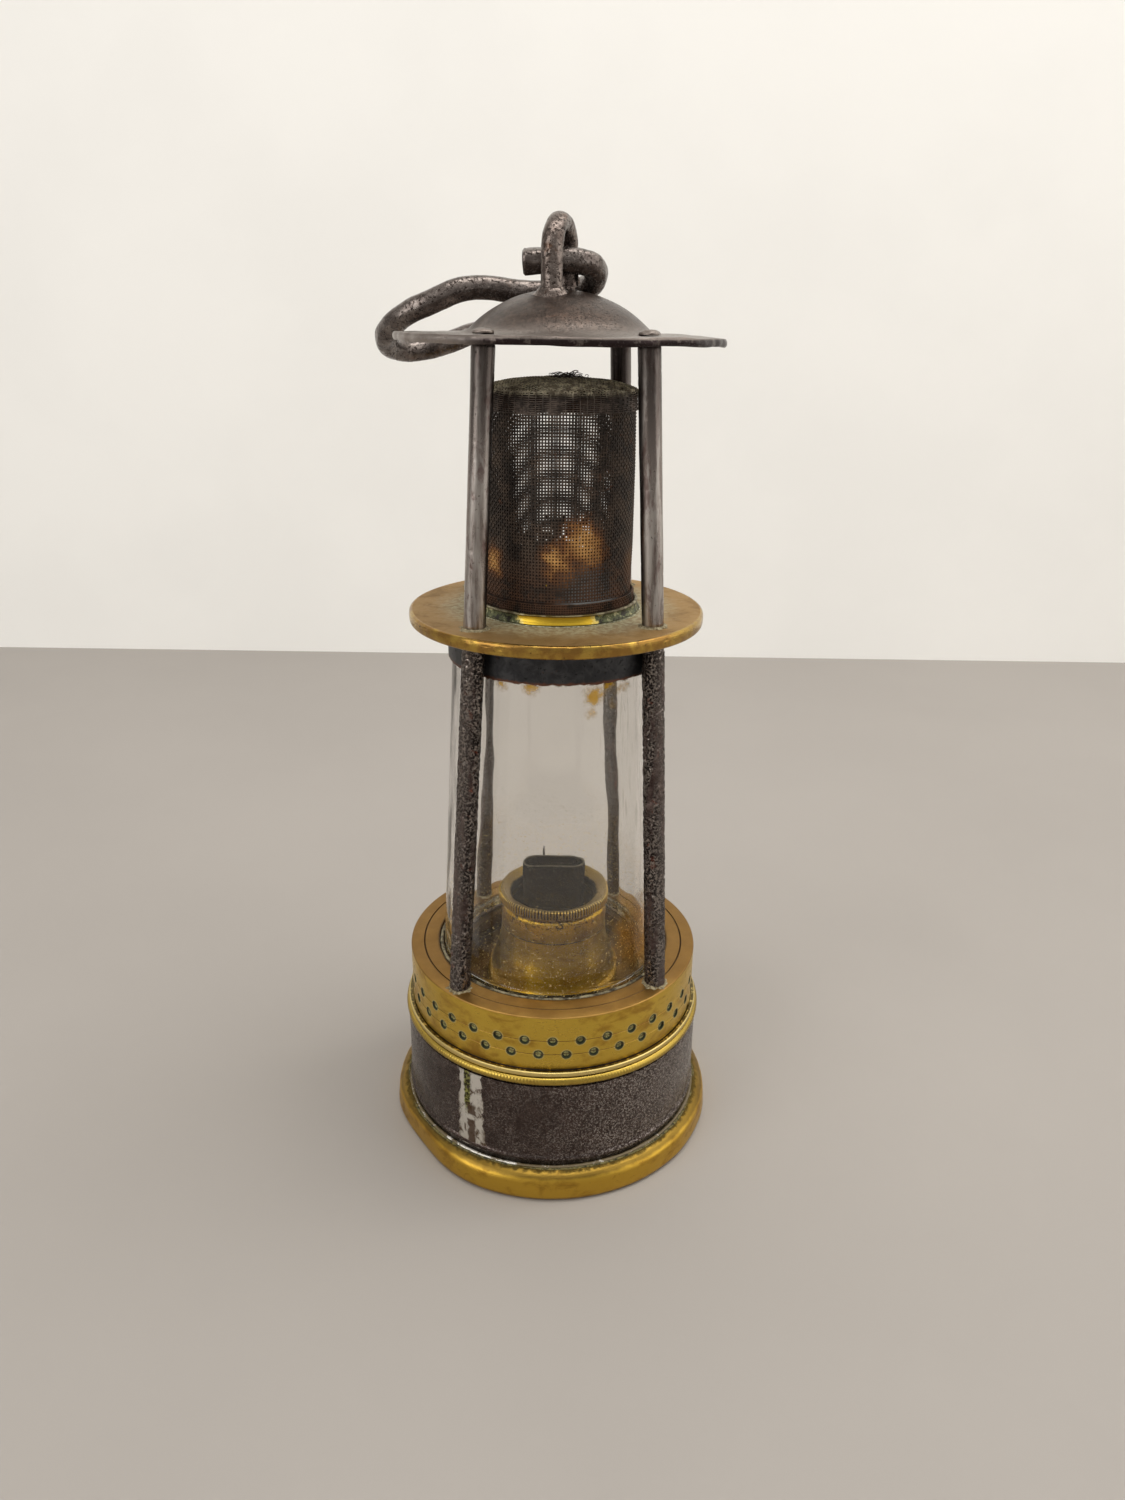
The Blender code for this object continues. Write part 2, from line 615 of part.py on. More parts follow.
def eye(materials):
    """A staple whose legs are riveted through the dome."""
    centre = EYE_TOP - EYE_ROD - EYE_HALF_WIDTH
    shoulder = DOME_TOP + 0.1
    line = [(0, EYE_HALF_WIDTH, shoulder), (0, EYE_HALF_WIDTH, (shoulder + centre) / 2)]
    arch_steps = 8
    for step in range(arch_steps + 1):
        angle = math.pi * step / arch_steps
        line.append((0, EYE_HALF_WIDTH * math.cos(angle), centre + EYE_HALF_WIDTH * math.sin(angle)))
    line += [(0, -EYE_HALF_WIDTH, (shoulder + centre) / 2), (0, -EYE_HALF_WIDTH, shoulder)]
    staple = swept_rod("eye", line, EYE_ROD, materials["hook_iron"], samples=1, sides=12)
    staple.data.transform(Matrix.Diagonal((EYE_BREADTH, 1, 1, 1)))
    for side in (1, -1):
        tenon = turned("tenon", (
            (0, 215.2), (2.1, 215.2), (2.3, 215.9), (TENON_RADIUS, 216.1),
            (TENON_RADIUS, shoulder + 1.0), (0, shoulder + 1.0),
        ), materials["hook_iron"], 12)
        tenon.data.transform(Matrix.Translation((0, side * EYE_HALF_WIDTH * MM, 0)))
        combine(staple, tenon, "UNION")
    staple.data.transform(eye_matrix())


def hook_line():
    """The shank's points, then a half-circle bow and the open tip in a sloping plane."""
    start, slope_x, slope_y = BOW_PLANE
    centre_x, centre_y = BOW_CENTRE
    bow_steps = 8
    plan = []
    for step in range(bow_steps + 1):
        angle = -math.pi / 2 - math.pi * step / bow_steps
        plan.append((
            centre_x + BOW_RADIUS * math.cos(angle), centre_y + BOW_RADIUS * math.sin(angle)))
    plan += HOOK_TIP
    return list(HOOK_SHANK) + [(x, y, start + slope_x * x + slope_y * y) for x, y in plan]


def hook(materials):
    """Carrying hook, lying on the hood; its origin is on the eye's axis."""
    rod = swept_rod("hook", hook_line(), HOOK_ROD, materials["hook_iron"], samples=2, sides=12)
    pivot = Vector((0, 0, EYE_TOP - EYE_ROD - EYE_HALF_WIDTH)) * MM
    rod.data.transform(Matrix.Translation(-pivot))
    rod.location = pivot


def pillars(materials):
    lower_bottom = RING_TOP + GAP + 0.2
    lower_top = PLATE_BOTTOM - GAP - 0.2
    upper_bottom = PLATE_TOP + GAP + 0.2
    upper_top = BRIM_TOP - BRIM_THICKNESS - GAP - 0.2
    socket_top = upper_bottom + 3.4
    for index, name in enumerate(PILLAR_NAMES):
        lower = turned("lower_pillar_" + name, (
            (0, RING_TOP - 4.0), (TENON_RADIUS, RING_TOP - 4.0), (TENON_RADIUS, lower_bottom),
            (LOWER_PILLAR_RADIUS, lower_bottom), (LOWER_PILLAR_RADIUS, lower_top),
            (TENON_RADIUS, lower_top), (TENON_RADIUS, socket_top - GAP), (0, socket_top - GAP),
        ), materials["pitted_iron"], ROD_SIDES)
        upper = turned("upper_pillar_" + name, (
            (TENON_RADIUS + GAP, upper_bottom), (UPPER_PILLAR_RADIUS, upper_bottom),
            (UPPER_PILLAR_RADIUS, upper_top), (TENON_RADIUS, upper_top),
            (TENON_RADIUS, BRIM_TOP + 0.5), (RIVET_RADIUS, BRIM_TOP + 0.5),
            (RIVET_RADIUS - 0.6, BRIM_TOP + RIVET_HEIGHT - 0.3), (0, BRIM_TOP + RIVET_HEIGHT),
            (0, socket_top), (TENON_RADIUS + GAP, socket_top),
        ), materials["steel_grey"], ROD_SIDES)
        place_on_pillar(lower, index, upper=False)
        place_on_pillar(upper, index, upper=True)


def make_materials():
    table = {
        "foot_brass": ((0.56, 0.36, 0.09), 0.35, 1.0),
        "ring_brass": ((0.52, 0.35, 0.11), 0.38, 1.0),
        "plate_brass": ((0.42, 0.28, 0.14), 0.45, 1.0),
        "dull_brass": ((0.30, 0.22, 0.10), 0.50, 1.0),
        "soot_metal": ((0.03, 0.03, 0.028), 0.80, 0.6),
        "dark_iron": ((0.075, 0.058, 0.060), 0.50, 0.8),
        "black_iron": ((0.035, 0.035, 0.038), 0.60, 0.7),
        "pitted_iron": ((0.085, 0.070, 0.068), 0.45, 0.9),
        "steel_grey": ((0.16, 0.145, 0.14), 0.40, 0.9),
        "hood_iron": ((0.095, 0.078, 0.068), 0.55, 0.8),
        "hook_iron": ((0.085, 0.070, 0.062), 0.42, 0.9),
        "gauze_wire": ((0.07, 0.06, 0.05), 0.65, 0.7),
        "leather": ((0.05, 0.035, 0.025), 0.85, 0.0),
        "wick_cotton": ((0.10, 0.09, 0.08), 0.95, 0.0),
        "clear_glass": ((0.90, 0.93, 0.90), 0.05, 0.0, 1.0),
    }
    return {name: make_material(name, *values) for name, values in table.items()}


def main():
    clear_scene()
    materials = make_materials()
    for build in (
        base_flange, vessel_shell, vessel_collar, vessel_top, burner_bell, burner_ring,
        wick_plate, wick_tube, wick, pricker_tube, pricker, leather_washer, air_ring,
        air_gauze, glass_ring, washers, glass, glass_holder, mid_plate, gauze_collar,
        gauze_base_ring, gauze, gauze_cap, hood, eye, hook, pillars,
    ):
        build(materials)


main()
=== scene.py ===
"""Looks of the miner's flame safety lamp: its fine meshes, materials, light and camera.

Lengths are in millimetres until a mesh is made. Heights and radii of the turned
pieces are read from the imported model, and each new piece stands for its CAD node.
"""
import math
import random

import bmesh
import bpy
import numpy as np
from mathutils import Matrix, Vector, noise


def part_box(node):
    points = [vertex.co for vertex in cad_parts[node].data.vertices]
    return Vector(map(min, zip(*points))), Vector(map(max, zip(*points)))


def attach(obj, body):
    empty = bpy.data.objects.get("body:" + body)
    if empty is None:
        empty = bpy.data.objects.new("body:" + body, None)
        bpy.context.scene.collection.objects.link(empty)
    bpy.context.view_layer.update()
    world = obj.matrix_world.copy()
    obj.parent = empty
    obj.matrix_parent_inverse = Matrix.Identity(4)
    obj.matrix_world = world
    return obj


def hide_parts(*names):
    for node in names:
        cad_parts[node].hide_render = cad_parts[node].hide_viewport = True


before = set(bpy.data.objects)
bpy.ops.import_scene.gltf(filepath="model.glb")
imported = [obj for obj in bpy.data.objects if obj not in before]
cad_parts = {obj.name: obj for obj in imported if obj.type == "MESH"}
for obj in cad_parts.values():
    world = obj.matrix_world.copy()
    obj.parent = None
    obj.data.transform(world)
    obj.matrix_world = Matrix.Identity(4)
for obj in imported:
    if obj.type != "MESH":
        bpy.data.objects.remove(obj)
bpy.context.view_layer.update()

MM = 0.001
FINE = 192                # steps round a large turned piece
MEDIUM = 128              # steps round a small turned piece
LOWER_ROD = 2.7           # radius of a lower pillar
UPPER_ROD = 2.55
PILLAR_REACH = 39.35      # from the axis to the pillars' centre lines, carried down to the table
PILLAR_LEAN = -0.0702     # change of that distance with height
AIR_HOLES = 35            # holes in each row of the air ring
AIR_HOLE_PHASE = math.radians(8.5)    # from +X to the lower row's first hole
AIR_HOLE_RADIUS = 1.05
AIR_ROWS = (42.4, 46.4)
SEAM_ANGLE = math.radians(-120.5)     # where the vessel's soldered seam stands
SOLDER_DEPTH = 0.4        # how far the seam's solder reaches into the wall
FLAT_ANGLE = math.radians(-145)       # where the foot's rim is knocked flat
KNURL_TEETH = 116
GAUZE_WIRES = 150         # upright wires round the gauze
GAUZE_PITCH = 0.74
BOX_FACES = ((3, 2, 1, 0), (4, 5, 6, 7), (0, 1, 5, 4), (1, 2, 6, 5), (2, 3, 7, 6), (3, 0, 4, 7))
EYE_HALF_WIDTH = 6.6
EYE_ROD = 2.15            # half the eye's thickness
EYE_BREADTH = 1.12        # the eye's width over its thickness
EYE_TURN = math.radians(-15.0)
HOOK_ROD = 2.75
HOOK_SHANK = (
    (-8.2, 0.2, 224.7), (-4.0, 0.0, 224.9), (0.0, -0.1, 225.0), (3.7, 0.5, 225.0),
    (6.9, 2.8, 224.3), (8.1, 6.8, 222.5), (6.9, 10.8, 220.4), (3.6, 13.8, 219.3),
    (-1.0, 15.1, 218.9), (-6.0, 15.2, 218.7), (-12.0, 14.6, 219.1),
    (-18.0, 13.6, 219.7), (-24.0, 12.8, 218.9),
)
BOW_CENTRE = (-30.2, 25.0)
BOW_RADIUS = 12.8
BOW_PLANE = (231.3, 0.34, -0.38)      # height at the axis, then slopes along X and Y
HOOK_TIP = ((-23.5, 37.6), (-17.5, 38.1), (-12.0, 38.8))


# --- mesh tools -------------------------------------------------------------

def span(node):
    """Outer radius, bottom and top of a turned CAD node, in millimetres."""
    low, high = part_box(node)
    return high.x / MM, low.z / MM, high.z / MM


def extent(node):
    """Width, depth, bottom and top of a CAD node, in millimetres."""
    low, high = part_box(node)
    return (high.x - low.x) / MM, (high.y - low.y) / MM, low.z / MM, high.z / MM


def new_object(bm, name):
    """An object from a bmesh in millimetres."""
    bmesh.ops.scale(bm, vec=(MM, MM, MM), verts=bm.verts)
    mesh = bpy.data.meshes.new(name)
    bm.to_mesh(mesh)
    bm.free()
    made = bpy.data.objects.new(name, mesh)
    bpy.context.collection.objects.link(made)
    return made


def make_piece(bm, name, material, body, node=None, sharp=35.0):
    """A finished piece, which rides a body and may stand for a CAD node."""
    bmesh.ops.recalc_face_normals(bm, faces=bm.faces)
    piece = new_object(bm, name)
    piece.data.materials.append(material)
    piece.data.shade_smooth()
    piece.data.set_sharp_from_angle(angle=math.radians(sharp))
    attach(piece, body)
    if node:
        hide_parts(node)
    return piece


def softened(corners, arc_steps=3):
    """A closed outline whose (radius, height, rounding) corners become arcs."""
    outline = []
    count = len(corners)
    for index, (radius, height, rounding) in enumerate(corners):
        corner = Vector((radius, height))
        if rounding <= 0:
            outline.append(tuple(corner))
            continue
        before = Vector(corners[index - 1][:2]) - corner
        after = Vector(corners[(index + 1) % count][:2]) - corner
        reach = min(rounding, before.length * 0.45, after.length * 0.45)
        start, end = before.normalized() * reach, after.normalized() * reach
        for step in range(arc_steps + 1):
            t = step / arc_steps
            outline.append(tuple(corner + start * (1 - t) ** 2 + end * t ** 2))
    return outline


def divided(outline, longest):
    """The same closed outline with extra points, so no stretch is longer than that."""
    points = []
    for index, point in enumerate(outline):
        following = outline[(index + 1) % len(outline)]
        length = math.dist(point, following)
        parts = 1 if point[0] < 1e-6 and following[0] < 1e-6 else max(1, math.ceil(length / longest))
        for part in range(parts):
            t = part / parts
            points.append(tuple(a + (b - a) * t for a, b in zip(point, following)))
    return points


def groove(radius, height, width=0.34, depth=0.22):
    """Three points of a scribed line in an outer wall, from its upper side down."""
    return [(radius, height + width / 2), (radius - depth, height), (radius, height - width / 2)]


def lathe(outline, steps=FINE):
    """A closed (radius, height) outline turned about Z."""
    bm = bmesh.new()
    rings = []
    for radius, height in outline:
        if radius < 1e-6:
            rings.append([bm.verts.new((0, 0, height))] * steps)
            continue
        ring = []
        for step in range(steps):
            angle = math.tau * step / steps
            ring.append(bm.verts.new((radius * math.cos(angle), radius * math.sin(angle), height)))
        rings.append(ring)
    for index, low in enumerate(rings):
        high = rings[(index + 1) % len(rings)]
        if low[0] is low[1] and high[0] is high[1]:
            continue
        for step in range(steps):
            after = (step + 1) % steps
            corners = dict.fromkeys((low[step], low[after], high[after], high[step]))
            bm.faces.new(list(corners))
    return bm


def turned(name, corners, material, body, node, field=None, arcs=3, longest=2.0, steps=FINE):
    """A turned piece from rounded corners, with a surface field pushed into it."""
    bm = lathe(divided(softened(corners, arcs), longest), steps)
    if field:
        push(bm, field)
    return make_piece(bm, name, material, body, node)


def push(bm, field):
    """Moves each vertex along its normal by field(place), both in millimetres."""
    bm.normal_update()
    for vertex, amount in [(v, field(v.co)) for v in bm.verts]:
        vertex.co += vertex.normal * amount


def wave(*place):
    """Smooth noise at a place, from about -1 to 1."""
    return noise.noise(Vector(place))


def lumps(place, size, height, seed=0.0):
    """Smooth noise of about the given size and height."""
    return height * noise.noise(place / size + Vector((seed, seed * 0.7, -seed)))


def clamped(share):
    """The share, kept between 0 and 1."""
    return max(0.0, min(1.0, share))


def pits(place, size, depth, cover=0.30, seed=0.0):
    """Hollows of about the given size, where noise rises over a threshold."""
    value = noise.noise(place / size + Vector((seed, -seed, seed * 0.3)))
    return -depth * clamped((value - 0.5 + cover) * 5.0)


def stacked(rings, closed_loop, bm=None):
    """A body skinned over rings of points; a closed loop joins the last to the first."""
    bm = bm or bmesh.new()
    made = [[bm.verts.new(point) for point in ring] for ring in rings]
    pairs = list(zip(made, made[1:]))
    if closed_loop:
        pairs.append((made[-1], made[0]))
    else:
        bm.faces.new(made[0])
        bm.faces.new(made[-1])
    count = len(made[0])
    for low, high in pairs:
        for index in range(count):
            after = (index + 1) % count
            bm.faces.new((low[index], low[after], high[after], high[index]))
    return bm


def tube(line, radius, sides=20, end_round=0.5, seed_normal=(0.0, 0.3, 1.0)):
    """A rod along a line. radius is a number, or a function of (index, angle)."""
    points = [Vector(point) for point in line]
    normal = Vector(seed_normal)
    rings = []
    for index, point in enumerate(points):
        ahead = points[min(index + 1, len(points) - 1)] - points[max(index - 1, 0)]
        along = ahead.normalized()
        normal = (normal - along * normal.dot(along)).normalized()
        side = along.cross(normal)
        end = index in (0, len(points) - 1)
        ring = []
        for step in range(sides):
            angle = math.tau * step / sides
            reach = radius(index, angle) if callable(radius) else radius
            if end:
                reach -= end_round
            ring.append(point + (normal * math.cos(angle) + side * math.sin(angle)) * reach)
        rings.append(ring)
    return stacked(rings, False)


def smooth_line(points, samples):
    """Points read from a Catmull-Rom curve through the given points."""
    given = [Vector(point) for point in points]
    ends = [given[0] * 2 - given[1]] + given + [given[-1] * 2 - given[-2]]
    line = []
    for index in range(1, len(ends) - 2):
        before, start, end, after = ends[index - 1:index + 3]
        for step in range(samples):
            t = step / samples
            line.append(0.5 * (
                2 * start + (end - before) * t
                + (2 * before - 5 * start + 4 * end - after) * t * t
                + (3 * start - before - 3 * end + after) * t ** 3
            ))
    line.append(given[-1])
    return line


def wires(paths, outward, radius, closed, sides=4):
    """Vertices and faces of many thin wires, one for each row of path points."""
    paths, outward = np.asarray(paths), np.asarray(outward)
    if closed:
        ahead = np.roll(paths, -1, axis=1) - np.roll(paths, 1, axis=1)
    else:
        ahead = np.gradient(paths, axis=1)
    ahead /= np.linalg.norm(ahead, axis=2, keepdims=True)
    across = np.cross(ahead, outward)
    across /= np.linalg.norm(across, axis=2, keepdims=True)
    up = np.cross(across, ahead)
    rings = []
    for side in range(sides):
        angle = math.tau * (side + 0.5) / sides
        rings.append(paths + radius * (up * math.cos(angle) + across * math.sin(angle)))
    verts = np.stack(rings, axis=2).reshape(-1, 3)
    count, length = paths.shape[:2]
    faces = []
    for wire in range(count):
        start = wire * length * sides
        for step in range(length if closed else length - 1):
            low = start + step * sides
            high = start + (step + 1) % length * sides
            for side in range(sides):
                after = (side + 1) % sides
                faces.append((low + side, low + after, high + after, high + side))
        if not closed:
            last = start + (length - 1) * sides
            faces.append(tuple(range(start + sides - 1, start - 1, -1)))
            faces.append(tuple(range(last, last + sides)))
    return verts, faces


def lone_wire(path, outward, radius):
    return wires([path], [[outward] * len(path)], radius, False)


def wire_mesh(groups):
    """One bmesh from several (vertices, faces) groups."""
    bm = bmesh.new()
    for verts, faces in groups:
        made = [bm.verts.new(vertex) for vertex in verts]
        for face in faces:
            bm.faces.new([made[index] for index in face])
    return bm


# --- material tools ---------------------------------------------------------

def adds(operation, swapped=False):
    """A method that adds a Math node after a value."""
    def method(value, other=0.0):
        pair = (other, value) if swapped else (value, other)
        return value.look.math(operation, *pair)
    return method


class Value:
    """A node's output. Arithmetic on it adds Math nodes, and | takes the larger of two."""

    def __init__(self, look, socket):
        self.look = look
        self.socket = socket

    __add__ = adds("ADD")
    __sub__ = adds("SUBTRACT")
    __rsub__ = adds("SUBTRACT", True)
    __mul__ = adds("MULTIPLY")
    __truediv__ = adds("DIVIDE")
    __pow__ = adds("POWER")
    __abs__ = adds("ABSOLUTE")
    __or__ = adds("MAXIMUM")

    def band(self, low, high, start=0.0, end=1.0):
        """Rises smoothly from start to end as this value goes from low to high."""
        node = self.look.add("ShaderNodeMapRange", interpolation_type="SMOOTHSTEP")
        self.look.fill(node, (self, low, high, start, end))
        return Value(self.look, node.outputs["Result"])


class Look:
    """A node material. Its colour is built up by painting one layer over another."""

    def __init__(self, name, metallic=1.0, roughness=0.4):
        self.material = bpy.data.materials.new(name)
        self.material.use_nodes = True
        self.nodes = self.material.node_tree.nodes
        self.links = self.material.node_tree.links
        self.shader = self.nodes["Principled BSDF"]
        self.set(Metallic=metallic, Roughness=roughness)
        self.colour = None
        self.object_place = self.add("ShaderNodeTexCoord").outputs["Object"]
        self.place = self.vector("SCALE", self.object_place, Scale=1 / MM).outputs[0]
        split = self.add("ShaderNodeSeparateXYZ")
        self.links.new(self.place, split.inputs[0])
        self.x, self.y, self.z = (Value(self, output) for output in split.outputs)

    def add(self, kind, **settings):
        node = self.nodes.new(kind)
        for key, value in settings.items():
            setattr(node, key, value)
        return node

    def put(self, socket, value):
        if isinstance(value, Value):
            value = value.socket
        if isinstance(value, bpy.types.NodeSocket):
            self.links.new(value, socket)
        elif isinstance(value, tuple) and len(value) == 3 and socket.type == "RGBA":
            socket.default_value = (*value, 1.0)
        else:
            socket.default_value = value

    def fill(self, node, values):
        """Sets a node's first inputs, in order."""
        for socket, value in zip(node.inputs, values):
            self.put(socket, value)

    def set(self, **values):
        """Sets inputs of the surface shader, named with _ for a space."""
        for key, value in values.items():
            self.put(self.shader.inputs[key.replace("_", " ")], value)

    def vector(self, operation, *vectors, **values):
        node = self.add("ShaderNodeVectorMath", operation=operation)
        self.fill(node, vectors)
        for key, value in values.items():
            node.inputs[key].default_value = value
        return node

    def stretched(self, upright, sideways=1.0):
        """Places scaled for a pattern: it is drawn out along an axis whose factor is small."""
        factors = (sideways, sideways, upright)
        return self.vector("MULTIPLY", self.place, factors).outputs[0]

    def distance(self, *point):
        return Value(self, self.vector("DISTANCE", self.place, point).outputs["Value"])

    def noise(self, size, detail=4.0, rough=0.6, place=None, distort=0.0):
        node = self.add("ShaderNodeTexNoise")
        settings = {"Vector": place or self.place, "Scale": 1 / size, "Detail": detail,
                    "Roughness": rough, "Distortion": distort}
        for key, value in settings.items():
            self.put(node.inputs[key], value)
        return Value(self, node.outputs["Fac"])

    def cells(self, size):
        node = self.add("ShaderNodeTexVoronoi")
        self.put(node.inputs["Vector"], self.place)
        self.put(node.inputs["Scale"], 1 / size)
        return Value(self, node.outputs["Distance"])

    def math(self, operation, first, second=0.0):
        node = self.add("ShaderNodeMath", operation=operation)
        self.fill(node, (first, second))
        return Value(self, node.outputs[0])

    def mix(self, share, first, second):
        node = self.add("ShaderNodeMix", data_type="RGBA")
        for index, value in ((0, share), (6, first), (7, second)):
            self.put(node.inputs[index], value)
        return Value(self, node.outputs[2])

    def fade(self, share, first, number):
        """A value that gives way to a plain number."""
        return self.mix(share, first, (number, number, number))

    def blend(self, share, first, second):
        """One surface shader over another."""
        node = self.add("ShaderNodeMixShader")
        self.fill(node, (share, first.outputs[0], second.outputs[0]))
        return node

    def paint(self, shade, share, strength=1.0):
        """Lays a colour over the ones before it."""
        self.colour = self.mix(share if strength == 1.0 else share * strength, self.colour, shade)

    def radius(self):
        return self.math("SQRT", self.x ** 2 + self.y ** 2)

    def turn(self):
        return self.math("ARCTAN2", self.y, self.x)

    def outward(self, start, end):
        """A band over the distance outward from the cone of the pillars' centre lines."""
        return (self.radius() - (self.z * PILLAR_LEAN + PILLAR_REACH)).band(start, end)

    def bump(self, height, depth):
        """Adds a bump of the given depth in millimetres to the ones before it."""
        node = self.add("ShaderNodeBump")
        self.put(node.inputs["Height"], height)
        node.inputs["Distance"].default_value = depth * MM
        before = self.shader.inputs["Normal"].links
        if before:
            self.links.new(before[0].from_socket, node.inputs["Normal"])
        self.links.new(node.outputs[0], self.shader.inputs["Normal"])

    def finish(self, roughness=None, metallic=None):
        self.set(Base_Color=self.colour)
        if roughness is not None:
            self.set(Roughness=roughness)
        if metallic is not None:
            self.set(Metallic=metallic)
        return self.material


def brass_look(name, bright, brown, dark, tarnish=0.5, roughness=(0.26, 0.46)):
    """Worn turned brass: tarnish clouds, fine turning lines, scratches and specks."""
    look = Look(name)
    clouds = look.noise(9.0, 6.0, 0.62, place=look.stretched(1.7), distort=0.4)
    look.colour = look.mix(clouds.band(0.62 - 0.3 * tarnish, 0.78 - 0.2 * tarnish), bright, brown)
    look.paint(brown, look.noise(2.6, 5.0, 0.7, distort=0.8).band(0.60, 0.72), 0.55)
    specks = look.noise(0.55, 3.0, 0.7).band(0.66, 0.74)
    look.paint(dark, specks, 0.7)
    scratches = look.noise(0.5, 3.0, 0.7, place=look.stretched(2.4, 0.35))
    look.bump(look.noise(1.0, 2.0, 0.6, place=look.stretched(5.0, 0.05)), 0.03)
    look.bump(scratches, 0.02)
    look.bump(specks, -0.04)
    return look, (clouds * 0.6 + scratches * 0.4).band(0.35, 0.65, *roughness)


def iron_look(name, base, light, dark, rust, pit_size, pit_cover, roughness, rust_share):
    """Old iron: mottled oxide, dark pits and small rust stains."""
    look = Look(name)
    mottle = look.noise(3.0, 6.0, 0.65, distort=0.5)
    look.colour = look.mix(mottle.band(0.38, 0.66), base, light)
    pit = look.noise(pit_size, 4.0, 0.65).band(0.66 - 0.16 * pit_cover, 0.74 - 0.14 * pit_cover)
    look.paint(dark, pit, 0.85)
    stain = look.noise(6.0, 6.0, 0.7, distort=1.0)
    look.paint(rust, stain.band(0.66 - 0.2 * rust_share, 0.80 - 0.2 * rust_share), 0.6)
    look.bump(pit, -0.18)
    look.bump(mottle, 0.12)
    look.bump(look.noise(0.25, 3.0, 0.7), 0.03)
    return look, (mottle * 0.5 + pit * 0.5).band(0.2, 0.7, *roughness)


# --- materials --------------------------------------------------------------

def foot_brass():
    look, rough = brass_look("foot_brass_look", (0.55, 0.335, 0.046), (0.34, 0.185, 0.026),
        (0.07, 0.04, 0.012), 0.5, (0.3, 0.44))
    height = look.z
    ledge = look.radius() - look.noise(1.6, 4.0) * 3.0
    grime = ledge.band(41.6, 40.6) * height.band(7.0, 7.6)
    green = look.mix(look.noise(0.7, 3.0).band(0.4, 0.6), (0.022, 0.024, 0.01), (0.16, 0.14, 0.05))
    look.paint(green, grime, 0.9)
    upper = (height + look.noise(2.0) * 0.6).band(6.5, 7.2)
    look.paint((0.13, 0.082, 0.02), upper, 0.75)
    low = height.band(1.8, 0.2)
    look.paint((0.2, 0.1, 0.03), low, 0.4)
    return look.finish(look.fade(grime, rough, 0.8))


def ring_brass():
    """Air ring: coppery top, golden wall, pale rims and green dirt at the holes, with painted shade on the
    back of its top and in its bore.
    """
    look, rough = brass_look("ring_brass_look", (0.6, 0.4, 0.062), (0.38, 0.215, 0.034),
        (0.05, 0.03, 0.01), 0.5)
    height, radius = look.z, look.radius()
    top = height.band(52.9, 53.25)
    copper = look.mix(look.noise(5.0, 5.0).band(0.35, 0.65), (0.34, 0.19, 0.052), (0.43, 0.25, 0.068))
    # Painted shade: the top is painted darker towards the back, where it is seen through the dusty glass.
    painted_back_shade = look.y.band(-34.0, -16.0, 0.0, 0.7)
    copper = look.mix(painted_back_shade, copper, (0.19, 0.102, 0.026))
    look.paint(copper, top)
    turn = (look.turn() - AIR_HOLE_PHASE) / math.tau
    wall_radius, ahead = 39.3, 64.0    # ahead keeps the count of holes above zero
    pitch = math.tau * wall_radius / AIR_HOLES
    gaps = []
    for row, level in enumerate(AIR_ROWS):
        count = turn * float(AIR_HOLES) + (0.5 - 0.5 * row + ahead)
        along = (look.math("FRACT", count) - 0.5) * pitch
        up = height - level
        gaps.append(look.math("SQRT", along ** 2.0 + up ** 2.0))
    wall = radius.band(38.2, 38.6)
    near = look.math("MINIMUM", *gaps) + look.noise(0.8) * 0.25
    halo = near.band(1.85, 1.5) * wall
    dirt = near.band(1.5, 1.32) * wall
    plug = near.band(0.96, 0.8) * wall
    look.paint((0.6, 0.52, 0.22), halo, 0.6)
    look.paint((0.035, 0.042, 0.018), dirt)
    green = look.mix(look.noise(0.5, 3.0).band(0.35, 0.6), (0.085, 0.08, 0.025), (0.36, 0.34, 0.13))
    look.paint(green, plug)
    # Painted shade: the bore round the glass is painted dark.
    bore = radius.band(32.2, 31.7)
    look.paint((0.075, 0.042, 0.016), bore, 0.85)
    groove_share = abs(radius - 35.66).band(0.3, 0.12)
    line = groove_share * top
    look.paint((0.05, 0.025, 0.012), line, 0.85)
    for level in AIR_ROWS:
        scribed = abs(height - level).band(0.2, 0.08)
        look.paint((0.1, 0.045, 0.015), scribed * wall, 0.75)
    dull = dirt | plug
    rough = look.fade(dull, rough, 0.75)
    rough = look.fade(top * 0.5, rough, 0.5)
    return look.finish(rough, 1.0 - dull * 0.8)


def bead_brass():
    """Bead and the thin ledge over it, with dirt in the lines beside them and painted shade on the neck
    under the air ring.
    """
    look, rough = brass_look("bead_brass_look", (0.42, 0.29, 0.058), (0.3, 0.18, 0.036),
        (0.05, 0.035, 0.01), 0.3, (0.24, 0.4))
    height, radius = look.z, look.radius()
    ledge = height.band(36.25, 36.35)
    look.paint((0.86, 0.7, 0.3), ledge, 0.6)
    worn = look.noise(1.2, 4.0)
    for level, half in ((36.2, 0.2), (37.7, 0.1)):
        line = abs(height - level).band(half, half * 0.4)
        line = line * worn.band(0.3, 0.5)
        look.paint((0.035, 0.025, 0.01), line, 0.95)
    # Painted shade: the neck, in the gap under the air ring, is painted dark.
    neck = radius.band(39.42, 39.3)
    look.paint((0.04, 0.028, 0.01), neck, 0.8)
    low = (height + worn).band(34.7, 34.3)
    look.paint((0.06, 0.035, 0.015), low, 0.85)
    return look.finish(rough)


